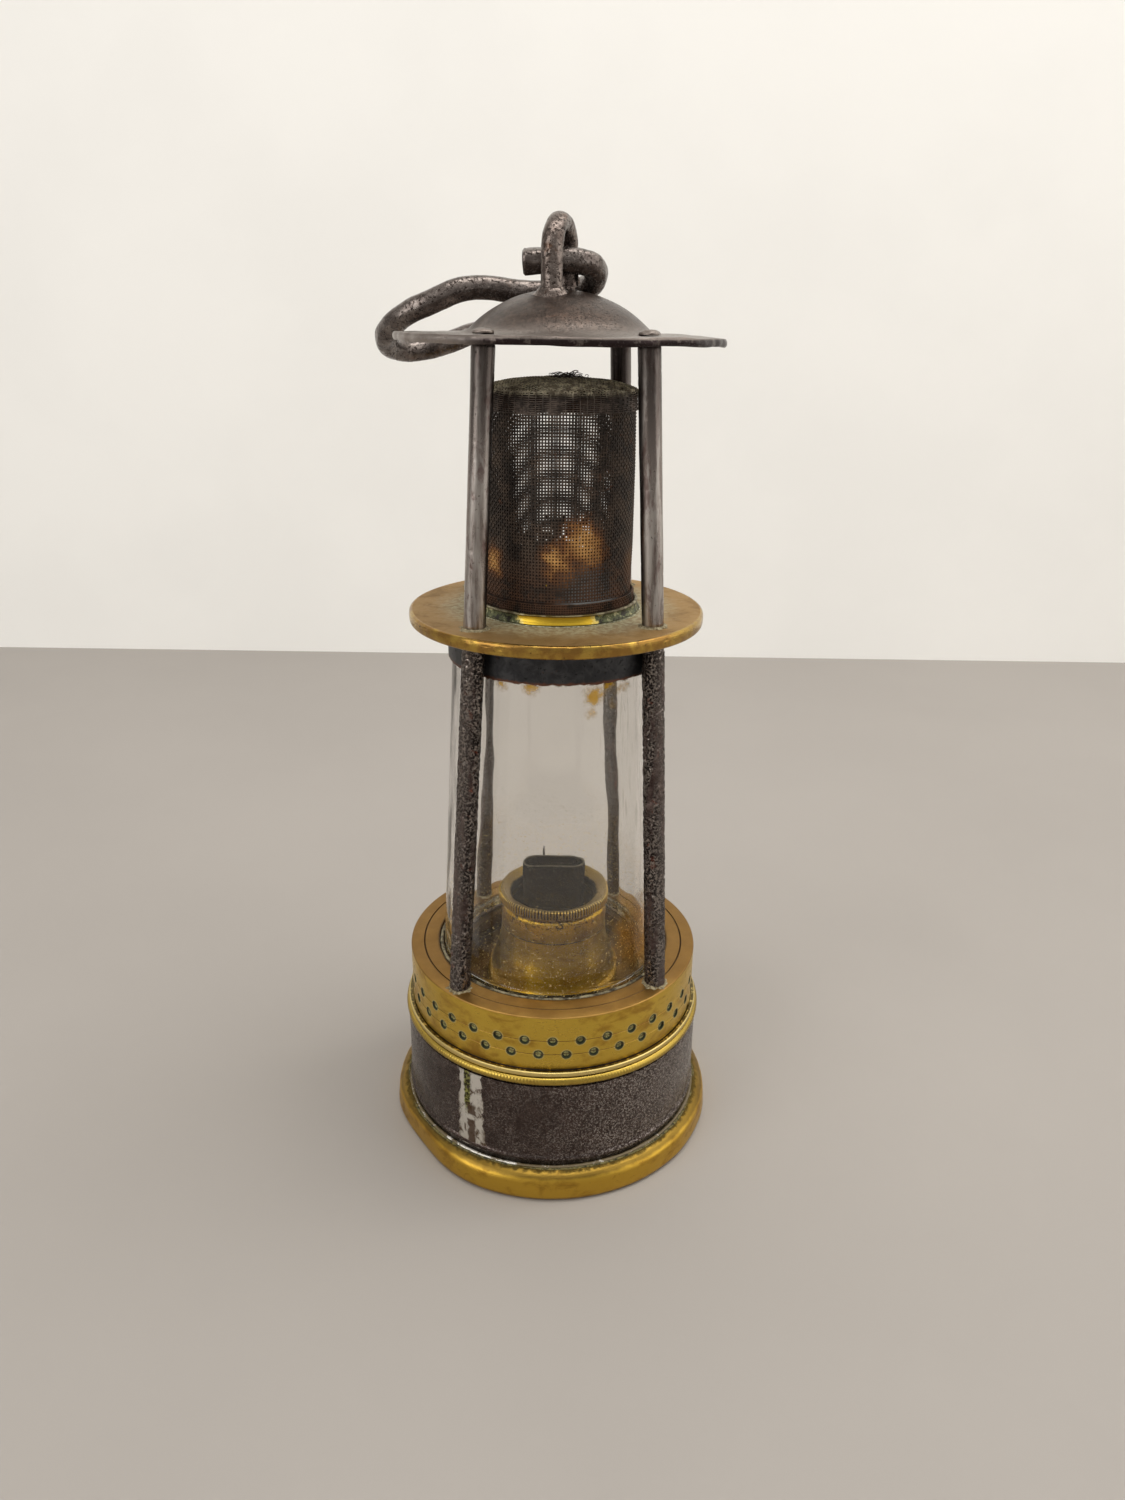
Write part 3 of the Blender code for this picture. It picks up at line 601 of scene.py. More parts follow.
def plate_brass():
    """Mid plate: matte tan faces, worn rim, pale green-white residue round the collar."""
    look, rough = brass_look("plate_brass_look", (0.38, 0.24, 0.095), (0.27, 0.165, 0.064),
        (0.06, 0.035, 0.015), 0.5, (0.54, 0.7))
    radius = look.radius()
    rim = (radius + look.noise(7.0) * 0.2).band(35.3, 35.7)
    look.paint(look.mix(look.noise(5.0).band(0.4, 0.6), (0.28, 0.15, 0.034), (0.44, 0.28, 0.058)), rim)
    nick = look.noise(1.5, 4.0, 0.7).band(0.62, 0.68) * rim
    look.paint((0.05, 0.03, 0.012), nick, 0.9)
    rough = look.fade(rim, rough, 0.22)
    near = (radius + look.noise(3.0, 5.0) * 10.0).band(37.0, 27.0)
    green = look.mix(look.noise(1.2, 5.0).band(0.4, 0.6), (0.28, 0.21, 0.11), (0.45, 0.41, 0.26))
    upper = near * look.z.band(147.1, 147.4)
    look.paint(green, upper, 0.9)
    return look.finish(rough, 0.9 - upper * 0.7)


def collar_brass():
    """Gauze collar: yellow front, mottled verdigris and cream on its sides, dull lip."""
    look, rough = brass_look("collar_brass_look", (0.55, 0.36, 0.034), (0.43, 0.27, 0.026),
        (0.06, 0.05, 0.02), 0.25, (0.3, 0.45))
    side = abs(look.x - 0.5)
    patchy = side + look.noise(2.0, 5.0, 0.7) * 9.0
    rust = patchy.band(13.2, 14.0)
    halo = patchy.band(11.9, 13.0)
    blotch = look.noise(1.5, 5.0, 0.7, distort=0.6)
    green = look.mix(blotch.band(0.42, 0.52), (0.018, 0.014, 0.006), (0.1, 0.11, 0.045))
    green = look.mix(blotch.band(0.57, 0.64), green, (0.42, 0.4, 0.22))
    look.paint((0.6, 0.54, 0.24), halo, 0.5)
    look.paint(green, rust)
    lip = look.z.band(149.55, 149.7)
    dull = look.mix(look.noise(2.5, 4.0).band(0.42, 0.6), (0.1, 0.075, 0.035), (0.34, 0.3, 0.19))
    look.paint(dull, lip, 0.9)
    rough = look.fade(rust, rough, 0.5)
    return look.finish(rough, 1.0 - rust * 0.7)


def dull_brass():
    """Burner: dusty olive-brown bell, crusty band under the ring, sooty mouth, and painted shade and
    highlights on the knurled teeth.
    """
    look, rough = brass_look("dull_brass_look", (0.43, 0.25, 0.018), (0.26, 0.135, 0.012),
        (0.03, 0.018, 0.008), 0.5, (0.26, 0.4))
    height, radius = look.z, look.radius()
    crust = look.noise(0.9, 5.0, 0.75).band(0.5, 0.6)
    zone = height.band(62.0, 65.0) * height.band(66.4, 65.8)
    look.paint((0.025, 0.02, 0.012), crust * zone)
    line = abs(height - 59.6).band(0.28, 0.12)
    look.paint((0.03, 0.02, 0.01), line, 0.9)
    bevel = height.band(66.9, 67.2) * radius.band(14.75, 14.6)
    look.paint((0.15, 0.098, 0.024), bevel, 0.8)
    # Painted shade between the knurl's teeth and a painted highlight along their crests.
    ridge = look.math("COSINE", look.turn() * float(KNURL_TEETH))
    teeth = radius.band(14.3, 14.5) * height.band(66.0, 66.2)
    look.paint((0.03, 0.02, 0.008), teeth * ridge.band(0.1, -0.7))
    look.paint((0.42, 0.31, 0.12), teeth * ridge.band(0.3, 0.9))
    mouth = (radius + look.noise(1.0)).band(12.7, 12.1) * height.band(57.0, 60.0)
    look.paint((0.008, 0.007, 0.005), mouth)
    foot = (height + look.noise(3.0) * 3.0).band(50.5, 47.0)
    look.paint((0.12, 0.062, 0.02), foot, 0.8)
    dust = look.noise(0.3, 2.0, 0.6).band(0.66, 0.71)
    look.paint((0.5, 0.42, 0.25), dust, 0.75)
    dull = dust | mouth | foot * 0.6
    dull = dull | bevel * 0.6
    rough = look.fade(mouth | foot, rough, 0.7)
    return look.finish(rough, 1.0 - dull * 0.8)


def sooty_brass():
    """Brass under the glass, brown with oil and soot."""
    look, rough = brass_look("sooty_brass_look", (0.11, 0.06, 0.02), (0.055, 0.03, 0.012),
        (0.02, 0.014, 0.008), 0.5, (0.34, 0.55))
    return look.finish(rough, 0.85)


def shell_iron():
    """Vessel wall: purple-brown oxide with fine grey speckle, laid on more thickly to the right as a painted
    sheen, and grime near the foot.
    """
    look, rough = iron_look("shell_iron_look", (0.044, 0.029, 0.025), (0.074, 0.052, 0.045),
        (0.016, 0.011, 0.01), (0.075, 0.038, 0.024), 0.35, 0.45, (0.27, 0.4), 0.1)
    speckle = look.noise(0.46, 3.0, 0.8).band(0.5, 0.6)
    # Painted sheen: the grey speckle grows towards the right; worn adds random wear patches to it.
    painted_side_light = look.x.band(-10.0, 30.0, 0.1, 1.0)
    worn = look.noise(9.0, 4.0).band(0.35, 0.62, 0.0, 0.35) + painted_side_light
    look.paint((0.42, 0.375, 0.345), speckle * worn)
    low = (look.z + look.noise(1.5, 4.0) * 2.0).band(11.0, 9.4)
    look.paint((0.02, 0.018, 0.012), low, 0.8)
    return look.finish(rough, 0.9)


def solder_metal(name, silver_front):
    """Tin solder: silver blotches, brown oxide, a dark green line down the seam."""
    look = Look(name, 0.9, 0.45)
    patch = look.noise(2.0, 5.0, 0.7, place=look.stretched(0.6), distort=0.6)
    bright, brown = (0.66, 0.63, 0.575), (0.12, 0.078, 0.048)
    sideways = look.x * -math.sin(SEAM_ANGLE) - look.y * -math.cos(SEAM_ANGLE)
    if silver_front:
        near = abs(sideways - 3.0).band(14.0, 6.0)
        share = (patch + near * 0.18).band(0.6, 0.68)
        look.colour = look.mix(share, (0.13, 0.095, 0.045), bright)
        metal = share * 0.9
        look.bump(patch, 0.2)
        return look.finish(0.45, metal)
    reach = abs(sideways) + look.noise(1.2, 4.0) * 2.4
    share = patch.band(0.34, 0.5) * reach.band(6.0, 4.2)
    look.colour = look.mix(share, brown, bright)
    wander = (look.noise(3.0, 3.0) - 0.5) * 1.6
    gap = abs(sideways + 1.0 + wander)
    upper = look.z.band(19.0, 23.0)
    line = gap.band(1.15, 0.75) * upper
    olive = look.mix(look.noise(0.8, 3.0).band(0.45, 0.6), (0.035, 0.03, 0.012), (0.34, 0.34, 0.1))
    look.paint(olive, line)
    pocket = abs(sideways - 0.3) + look.noise(1.6, 3.0) * 2.0
    low = pocket.band(2.6, 1.9) * look.z.band(24.0, 22.5)
    cross = abs(look.z - 19.0).band(0.5, 1.1)
    look.paint((0.085, 0.045, 0.024), low * cross, 0.9)
    look.bump(patch, 0.25)
    return look.finish(patch.band(0.3, 0.7, 0.55, 0.36))


def grime_look(name, first, second, size=0.9):
    """Crusty dirt or verdigris."""
    look = Look(name, 0.0, 0.9)
    crust = look.noise(size, 5.0, 0.7)
    look.bump(crust, 0.3)
    look.colour = look.mix(crust.band(0.38, 0.62), first, second)
    return look.finish(0.9)


def lower_iron():
    """Lower pillars: strips crowded with black pits between smooth brown ones, and rust, with painted light
    on their outer sides and painted shade on the sides facing the gauze.
    """
    look = Look("pitted_iron_look", 0.85, 0.4)
    holes = look.noise(0.62, 4.0, 0.7)
    pitted = look.mix(holes.band(0.47, 0.54), (0.012, 0.008, 0.007), (0.23, 0.195, 0.17))
    smooth = look.mix(look.noise(2.5, 5.0).band(0.4, 0.6), (0.05, 0.031, 0.027), (0.105, 0.075, 0.066))
    zone = look.noise(3.2, 4.0, 0.6, place=look.stretched(0.16)).band(0.38, 0.5)
    look.colour = look.mix(zone, smooth, pitted)
    stain = look.noise(5.0, 5.0, 0.7, distort=1.0).band(0.6, 0.68)
    look.paint((0.15, 0.04, 0.02), stain, 0.7)
    # Painted light: the outer side of each pillar is painted lighter.
    outer = look.outward(1.2, 2.6) * 0.3
    look.paint((0.22, 0.185, 0.165), outer)
    # Painted shade: the side of each pillar that faces the gauze is painted darker.
    look.paint((0.03, 0.019, 0.015), look.outward(0.0, -2.2), 0.5)
    look.bump(holes.band(0.47, 0.54) * zone, 0.22)
    return look.finish(holes.band(0.42, 0.55, 0.6, 0.27))


def upper_iron():
    """Upper pillars: smooth worn steel, long streaks, purple stains, a few black pits, with painted shade
    near the brim and on the sides facing the gauze.
    """
    look = Look("steel_grey_look", 0.92)
    streak = look.noise(1.6, 4.0, 0.6, place=look.stretched(0.08))
    look.colour = look.mix(streak.band(0.38, 0.62), (0.22, 0.185, 0.165), (0.4, 0.365, 0.335))
    stain = look.noise(4.0, 5.0, 0.7, place=look.stretched(0.4), distort=0.8)
    look.paint((0.12, 0.07, 0.062), stain.band(0.52, 0.64), 0.7)
    pit = look.noise(0.7, 3.0, 0.6).band(0.67, 0.72)
    look.paint((0.02, 0.015, 0.012), pit, 0.9)
    # Painted shade under the brim: the top of each pillar is painted dark.
    upper = look.z.band(180.0, 203.0)
    look.paint((0.045, 0.034, 0.03), upper, 0.75)
    # Painted shade: the side of each pillar that faces the gauze is painted darker.
    look.paint((0.034, 0.026, 0.024), look.outward(0.6, -1.4), 0.85)
    look.bump(streak, 0.06)
    look.bump(pit, -0.12)
    return look.finish(streak.band(0.3, 0.7, 0.22, 0.38))


def hood_iron():
    """Canopy: brown-grey oxide, paler on the brim. Its edge is dark, with a painted highlight that makes it
    lighter at the left.
    """
    look, rough = iron_look("hood_iron_look", (0.034, 0.022, 0.016), (0.066, 0.045, 0.034),
        (0.022, 0.015, 0.013), (0.14, 0.07, 0.042), 0.45, 0.5, (0.32, 0.48), 0.35)
    fleck = look.noise(1.1, 4.0, 0.7).band(0.48, 0.62)
    look.paint((0.13, 0.086, 0.066), fleck, 0.35)
    brim = look.radius().band(17.0, 23.0)
    look.paint((0.32, 0.275, 0.245), brim, 0.55)
    edge = look.z.band(209.75, 209.35)
    edge = edge * look.noise(2.4, 4.0, 0.7).band(0.36, 0.46, 0.55, 1.0)
    # Painted highlight: the dark edge is painted lighter towards the left.
    painted_side_light = look.x.band(-12.0, -24.0)
    look.paint(look.mix(painted_side_light, (0.022, 0.013, 0.013), (0.3, 0.26, 0.235)), edge)
    return look.finish(rough, 0.8)


def hook_iron(name, base, light):
    look, rough = iron_look(name, base, light, (0.02, 0.012, 0.009), (0.15, 0.07, 0.035), 0.7, 0.75,
        (0.2, 0.38), 0.4)
    worn = look.noise(0.28, 3.0, 0.7).band(0.56, 0.63) * look.noise(3.0).band(0.42, 0.6)
    look.paint((0.34, 0.295, 0.26), worn, 0.4)
    return look.finish(rough, 0.88)


def black_iron():
    look, rough = iron_look("black_iron_look", (0.022, 0.022, 0.024), (0.05, 0.05, 0.052),
        (0.01, 0.009, 0.009), (0.12, 0.045, 0.02), 0.7, 0.4, (0.45, 0.7), 0.2)
    edge = (look.z + look.noise(1.0, 4.0) * 1.2).band(136.9, 136.3)
    below = edge * look.z.band(145.0, 144.0)
    look.paint((0.13, 0.045, 0.02), below, 0.8)
    return look.finish(rough, 0.6)


def gauze_wire():
    """Rusted wire, with golden-brown patches where the flame has heated it."""
    look = Look("gauze_wire_look", 0.5, 0.55)
    mottle = look.noise(4.0, 5.0, 0.65)
    look.colour = look.mix(mottle.band(0.4, 0.62), (0.04, 0.029, 0.022), (0.1, 0.071, 0.052))
    low = look.z.band(166.0, 152.0) * mottle.band(0.36, 0.56)
    look.paint((0.115, 0.05, 0.024), low, 0.7)
    ragged = look.noise(4.0, 4.0, 0.65) * 10.0
    heated = ((6.0, -17.0, 165.6, 6.0, 0.6), (0.5, -18.0, 162.0, 4.6, 1.0),
        (-15.1, -10.5, 161.0, 4.0, 0.7), (17.2, -5.0, 160.0, 4.0, 0.1))
    for x, y, z, reach, strength in heated:
        spread = look.distance(x, y, z) + ragged
        glow = spread.band(reach + 6.5, reach + 2.5) * min(1.0, strength * 2.0)
        look.paint((0.24, 0.1, 0.035), glow)
        gold = spread.band(reach + 4.5, reach) * strength
        look.paint((0.8, 0.47, 0.16), gold)
    rust = look.noise(6.0, 5.0, 0.7, distort=0.8).band(0.62, 0.7)
    look.paint((0.17, 0.06, 0.025), rust, 0.6)
    return look.finish(mottle.band(0.3, 0.7, 0.5, 0.7))


def clog_rust():
    """Rust and soot, with one pale patch low on the gauze painted as light shining through its meshes."""
    look = Look("clog_look", 0.0, 0.9)
    look.set(Specular_IOR_Level=0.15)
    crust = look.noise(2.5, 5.0, 0.7)
    look.bump(look.noise(0.5, 3.0), 0.2)
    look.colour = look.mix(crust.band(0.4, 0.62), (0.014, 0.009, 0.007), (0.045, 0.022, 0.012))
    # Painted light: a pale bluish patch low at the front right stands for light shining through the meshes.
    spread = look.distance(8.0, -16.0, 154.0) + look.noise(1.6, 4.0) * 6.0
    pale = spread.band(13.0, 6.0) * look.z.band(151.6, 152.2)
    look.paint((0.26, 0.27, 0.27), pale, 0.6)
    return look.finish()


def cap_wire():
    """Cap: dusty green-brown top, painted much lighter as painted light where the hood shades it, and a
    darker rounded band.
    """
    look = Look("cap_wire_look", 0.2, 0.8)
    mottle = look.noise(2.0, 5.0, 0.7)
    # Dust and painted light: the top's pale dusty colours are made far lighter to stand in for light where
    # the hood's shadow falls.
    look.colour = look.mix(mottle.band(0.42, 0.6), (0.34, 0.28, 0.19), (0.85, 0.76, 0.54))
    side = (look.z + look.noise(2.0)).band(200.0, 197.6)
    dark = look.mix(mottle.band(0.4, 0.6), (0.052, 0.039, 0.031), (0.143, 0.109, 0.088))
    look.paint(dark, side)
    return look.finish(0.75)


def soot_metal():
    look, _ = iron_look("soot_metal_look", (0.004, 0.0035, 0.003), (0.012, 0.01, 0.008),
        (0.004, 0.004, 0.004), (0.05, 0.035, 0.02), 0.6, 0.5, (0.6, 0.8), 0.3)
    look.set(Specular_IOR_Level=0.12)
    look.bump(look.noise(1.3, 5.0, 0.7), 0.45)
    dust = look.noise(0.35, 2.0, 0.6).band(0.66, 0.71)
    look.paint((0.4, 0.36, 0.28), dust, 0.6)
    rim = (look.z + look.noise(0.8) * 0.8).band(77.0, 77.4)
    look.paint((0.2, 0.17, 0.12), rim, 0.6)
    return look.finish(0.8, 0.0)


def wick_cotton():
    """Woven cotton, charred at its top."""
    look = Look("wick_cotton_look", 0.0, 0.95)
    weave = look.math("SINE", look.x * 9.0) * look.math("SINE", look.z * 7.0)
    look.bump(weave, 0.15)
    char = (look.z + look.noise(1.5) * 3.0).band(73.0, 77.0)
    tint = look.mix(look.noise(2.0).band(0.4, 0.6), (0.42, 0.37, 0.27), (0.3, 0.25, 0.17))
    look.set(Specular_IOR_Level=0.15)
    look.colour = look.mix(char, tint, (0.009, 0.008, 0.006))
    return look.finish(0.95)


def leather():
    look = Look("leather_look", 0.0, 0.8)
    grain = look.cells(0.6)
    look.bump(grain, 0.1)
    look.colour = look.mix(look.noise(3.0).band(0.4, 0.6), (0.035, 0.022, 0.014), (0.07, 0.045, 0.028))
    return look.finish(0.8)


def clear_glass():
    """Old pressed glass: dust specks, rust at the top, yellow spots, brown film below."""
    look = Look("clear_glass_look", 0.0, 0.03)
    look.set(Transmission_Weight=1.0, IOR=1.48, Specular_IOR_Level=0.3, Base_Color=(0.985, 0.98, 0.965))
    ripple = look.noise(14.0, 2.0, 0.5, place=look.stretched(0.35))
    look.bump(ripple, 0.35)
    height = look.z
    outside = (look.radius() + height * 0.051).band(30.4, 30.8)
    ragged, soft = look.noise(2.2, 5.0, 0.7), look.noise(1.6, 4.0, 0.6)
    edge = height + ragged * 3.0
    rust = edge.band(136.4, 137.2) * look.noise(5.0).band(0.36, 0.46)
    spots = None
    for x, y, z, reach in ((9.4, -25.0, 132.4, 2.2), (9.0, -25.8, 128.6, 1.1), (13.0, -23.6, 134.9, 1.5),
            (-5.5, -25.6, 134.8, 1.5), (15.5, -22.3, 133.6, 0.9), (13.8, -23.6, 130.0, 0.7),
            (-12.5, -22.9, 134.6, 1.0), (17.0, -20.6, 133.4, 0.9)):
        spread = look.distance(x, y, z) + soft * 3.4 - reach
        spot = spread.band(3.0, 0.4)
        spots = spot if spots is None else spots | spot
    streak = look.noise(1.1, 4.0, 0.6, place=look.stretched(0.05))
    drips = streak.band(0.56, 0.66) * look.x.band(13.0, 18.0)
    drips = drips * height.band(90.0, 108.0)
    brown = (look.distance(24.0, -20.0, 66.0) + ragged * 14.0).band(21.0, 12.0)
    crust = (height + ragged * 5.0).band(58.0, 54.5)
    crust = crust * look.noise(3.5, 4.0).band(0.52, 0.62)
    low = height.band(98.0, 64.0, 0.04, 1.0)
    dust = look.noise(0.48, 2.0, 0.6).band(0.635, 0.665) * low
    fine = look.noise(0.25, 2.0, 0.6).band(0.59, 0.66) * low
    haze = height.band(92.0, 54.0) * look.noise(5.0, 5.0, 0.7).band(0.3, 0.75)
    cover = haze * 0.035 | 0.008
    tint = (0.32, 0.2, 0.05)
    for layer, weight, shade in ((brown, 0.6, (0.36, 0.16, 0.024)), (drips, 0.34, (0.75, 0.72, 0.66)),
            (spots, 0.9, (0.5, 0.27, 0.006)), (rust, 0.92, (0.15, 0.042, 0.01)),
            (crust, 0.35, (0.62, 0.54, 0.32)), (fine, 0.32, (0.62, 0.42, 0.14)),
            (dust, 0.7, (0.8, 0.6, 0.26))):
        tint = look.mix(layer, tint, shade)
        cover = cover | layer * weight
    dirt = look.add("ShaderNodeBsdfDiffuse")
    look.put(dirt.inputs["Color"], tint)
    dirty = look.blend(cover * outside, look.shader, dirt)
    shadow = look.add("ShaderNodeLightPath").outputs["Is Shadow Ray"]
    through = look.blend(shadow, dirty, look.add("ShaderNodeBsdfTransparent"))
    look.put(look.nodes["Material Output"].inputs["Surface"], through.outputs[0])
    return look.material


def stage_look(name, colour, spread):
    look = Look(name, 0.0, 0.75)
    cloud = look.noise(120.0, 4.0, 0.5)
    other = tuple(channel * spread for channel in colour)
    look.colour = look.mix(cloud.band(0.35, 0.65), colour, other)
    return look.finish(0.75)


# --- oil vessel -------------------------------------------------------------

def base_flange(material):
    radius, bottom, top = span("base_flange")
    recess, recess_top, line = 14.0, 4.0, 30.3
    wall, floor, raised_floor = 41.1, 3.0, 6.5
    outline = softened([
        (0, recess_top, 0), (recess, recess_top, 0.3), (recess + 0.8, bottom, 0.3),
        (line - 0.3, bottom, 0), (line, bottom + 0.25, 0), (line + 0.3, bottom, 0),
        (radius - 0.8, bottom, 0.6), (radius, 1.2, 0.8), (radius - 0.45, 5.9, 0.8),
        (radius - 1.5, 7.2, 0.8), (radius - 3.2, top, 0.5), (wall, top, 0.3), (wall, floor, 0),
        (18.0, floor, 0), (16.5, raised_floor, 0.3), (0, raised_floor, 0),
    ], 4)
    bm = lathe(divided(outline, 2.5))

    def dents(place):
        out = place.to_2d().length
        if out < 38 or place.z < 0.8:
            return 0.0
        return lumps(place, 14.0, 0.25, 3.0) + lumps(place, 2.5, 0.05, 8.0)
    push(bm, dents)
    flat_side = Vector((math.cos(FLAT_ANGLE), math.sin(FLAT_ANGLE)))
    ledge, ledge_width, deepest, spread = 41.5, 3.5, 1.9, 170
    for vertex in bm.verts:
        flat = vertex.co.to_2d()
        if flat.length > ledge and flat.dot(flat_side) > 0:
            across = flat.cross(flat_side)
            depth = deepest * math.exp(-across ** 2 / spread) * (flat.length - ledge) / ledge_width
            vertex.co -= (flat_side * depth).to_3d()
    make_piece(bm, "foot_casting", material, "vessel", "base_flange")


def vessel_shell(material):
    radius, bottom, top = span("vessel_shell")
    inner, welt, rise = radius - 1.2, 10.3, 0.35
    turned("vessel_wall", [
        (inner, bottom, 0), (radius, bottom, 0), (radius, welt - 0.9, 0),
        (radius + rise, welt - 0.4, 0.2), (radius + rise, welt + 0.4, 0.2),
        (radius, welt + 0.9, 0), (radius, top, 0.2), (inner, top, 0.2),
    ], material, "vessel", "vessel_shell",
        lambda place: lumps(place, 9.0, 0.10, 1.0) + lumps(place, 1.2, 0.035, 5.0),
        arcs=2, longest=1.5, steps=256)


def vessel_seam(solder):
    """Raised, runny strip of solder over the vessel's upright seam."""
    radius, _, top = span("vessel_shell")
    rows, columns = 44, 12
    start, end = 9.6, top - 0.1
    bm = bmesh.new()
    grid = []
    for row in range(rows + 1):
        t = row / rows
        height = start + (end - start) * t
        ragged = wave(0.3, 4.0, height * 0.35) + 0.5 * wave(5.0, 1.0, height * 1.3)
        width = 3.8 + 1.2 * ragged + 0.6 * (1 - t)
        middle = SEAM_ANGLE + 0.012 * wave(7.0, 1.0, height * 0.2)
        line = []
        for column in range(columns + 1):
            across = 2 * column / columns - 1
            angle = middle + across * width / radius
            rise = 0.30 * (1 - across ** 2) ** 0.5 - 0.22 * math.exp(-((across + 0.25) / 0.16) ** 2) * t
            ripple = 0.16 * wave(across * 3, 2.0, height * 0.8)
            reach = radius - 0.12 + max(0.0, rise + ripple * (1 - across ** 2))
            line.append(bm.verts.new((reach * math.cos(angle), reach * math.sin(angle), height)))
        grid.append(line)
    for low, high in zip(grid, grid[1:]):
        for column in range(columns):
            bm.faces.new((low[column], low[column + 1], high[column + 1], high[column]))
    edges = [edge for edge in bm.edges if edge.is_boundary]
    inner = bmesh.ops.extrude_edge_only(bm, edges=edges)["geom"]
    moved = [item for item in inner if isinstance(item, bmesh.types.BMVert)]
    for vertex in moved:
        vertex.co -= vertex.co.to_2d().normalized().to_3d() * SOLDER_DEPTH
    back = [item for item in inner if isinstance(item, bmesh.types.BMEdge)]
    bmesh.ops.contextual_create(bm, geom=back)
    make_piece(bm, "seam_solder", solder, "vessel", None)


def solder_fillet(name, radius, height, thick, material, body, seed, steps=256):
    """An uneven bead of solder or dirt lying in a round corner."""
    sides = 8
    rings = []
    for step in range(steps):
        angle = math.tau * step / steps
        out = Vector((math.cos(angle), math.sin(angle), 0))
        size = thick * (1 + 0.45 * noise.noise(out * 9.0 + Vector((seed, 0, 0))))
        size *= 1 + 0.3 * noise.noise(out * 31.0 + Vector((seed, 2, 0)))
        ring = []
        for side in range(sides):
            turn = math.tau * side / sides
            reach = radius + size * math.cos(turn)
            ring.append(out * reach + Vector((0, 0, height + size * 0.8 * math.sin(turn))))
        rings.append(ring)
    make_piece(stacked(rings, True), name, material, body, None, 60.0)


def vessel_collar(material):
    """Half-round bead with fine upright reeding, and the screwed neck above it."""
    radius, bottom, top = span("vessel_collar")
    bead_top, neck, ledge = 37.65, 36.9, 36.3
    middle, half = (bottom + 36.1) / 2, (36.1 - bottom) / 2
    outline = [(34.5, bottom)]
    for step in range(13):
        angle = math.pi * (step / 12 - 0.5)
        outline.append((radius - half + half * math.cos(angle), middle + half * math.sin(angle)))
    outline += [(39.9, 36.12), (39.9, ledge - 0.03), (40.4, ledge), (40.55, ledge + 0.4),
                (40.45, bead_top - 0.2), (40.2, bead_top), (39.5, bead_top), (39.42, 36.6)]
    outline += [(neck, 36.6), (neck, top - 0.5), (neck - 0.5, top), (34.5, top)]
    teeth = 300
    bm = lathe(outline, teeth * 4)

    def reeding(place):
        out = place.to_2d().length
        share = clamped((out - radius + 0.7) / 0.5)
        wear = 0.6 + lumps(place, 9.0, 0.5)
        angle = math.atan2(place.y, place.x)
        return 0.07 * share * wear * math.cos(angle * teeth)
    push(bm, reeding)
    make_piece(bm, "vessel_bead", material, "vessel", "vessel_collar")


def vessel_top(material):
    rim, _, top = span("vessel_top")
    turned("vessel_deck", [
        (10.0, top - 1.2, 0), (23.6, top - 1.2, 0.6), (26.0, 38.4, 0.6), (rim, 38.4, 0),
        (rim, 39.8, 0.3), (27.2, 39.8, 0.8), (24.8, top, 0.8), (10.0, top, 0.3),
    ], material, "vessel", "vessel_top", longest=4.0, steps=MEDIUM)


# --- burner -----------------------------------------------------------------

def burner_bell(material):
    foot_radius, foot, top = span("burner_bell")
    radius, opening = 14.3, 11.2
    outer = [(foot_radius, foot, 0.3), (foot_radius, foot + 1.2, 0.4), (17.4, foot + 1.5, 0.3)]
    for step in range(1, 9):
        t = step / 9
        outer.append((17.4 - (17.4 - radius) * math.sin(t * math.pi / 2), foot + 1.5 + t * (58.9 - foot), 0))
    outer += [(point[0], point[1], 0) for point in reversed(groove(radius, 59.6))]
    outer += [(radius, 65.4, 0.4), (radius - 0.9, top, 0.4), (opening, top, 0.2), (opening, 64.8, 0),
              (radius - 1.3, 64.8, 0), (radius - 1.3, 59.4, 0), (15.6, 48.0, 0), (16.3, foot, 0)]
    make_piece(lathe(softened(outer), MEDIUM), "burner_bell_shell", material, "vessel",
               "burner_bell")


def burner_ring(material):
    """Knurled ring: close upright teeth round its edge, and a sloping inner face."""
    radius, bottom, top = span("burner_ring")
    teeth, wider = KNURL_TEETH, 0.9
    radius += wider
    outline = softened([
        (11.3, bottom, 0.2), (radius - 0.9, bottom, 0.2), (radius - 0.8, bottom + 0.6, 0),
        (radius, bottom + 0.8, 0.2),
        (radius, top - 0.5, 0.2), (radius - 0.5, top, 0.3), (radius - 1.1, top, 0.3),
        (11.5, top - 1.5, 0.2), (11.3, top - 2.2, 0.2),
    ], 2)
    bm = lathe(divided(outline, 0.8), teeth * 6)

    def knurl(place):
        out = place.to_2d().length
        share = clamped((out - radius + 0.4) / 0.4)
        return 0.26 * share * (math.cos(math.atan2(place.y, place.x) * teeth) - 0.7)
    push(bm, knurl)
    make_piece(bm, "knurled_ring", material, "burner_ring", "burner_ring")


def oval_ring(width, depth, arc_steps=12):
    """Plan of a flat tube with round ends."""
    radius = depth / 2
    straight = width / 2 - radius
    ring = []
    for side in (1, -1):
        for step in range(arc_steps + 1):
            angle = math.pi * (step / arc_steps - 0.5)
            ring.append((side * (straight + radius * math.cos(angle)), side * radius * math.sin(angle)))
    return ring


def wick_tube(material):
    width, depth, bottom, top = extent("wick_tube")
    rings = []
    levels = [bottom + (top - bottom) * step / 20 for step in range(21)]
    for wall, heights in ((0.0, levels), (1.2, levels[::-1])):
        for height in heights:
            edge = 0.15 if height == top and wall == 0.0 else 0.0
            oval = oval_ring(width - wall - edge, depth - wall - edge)
            dip = 0.35 if height == top else 0.0
            rings.append([
                (x, y, height - dip * abs(wave(x * 0.5, y * 0.5, 2.0))) for x, y in oval])
    bm = stacked(rings, True)
    push(bm, lambda place: lumps(place, 1.6, 0.12, 4.0))
    make_piece(bm, "wick_tube_shell", material, "vessel", "wick_tube")


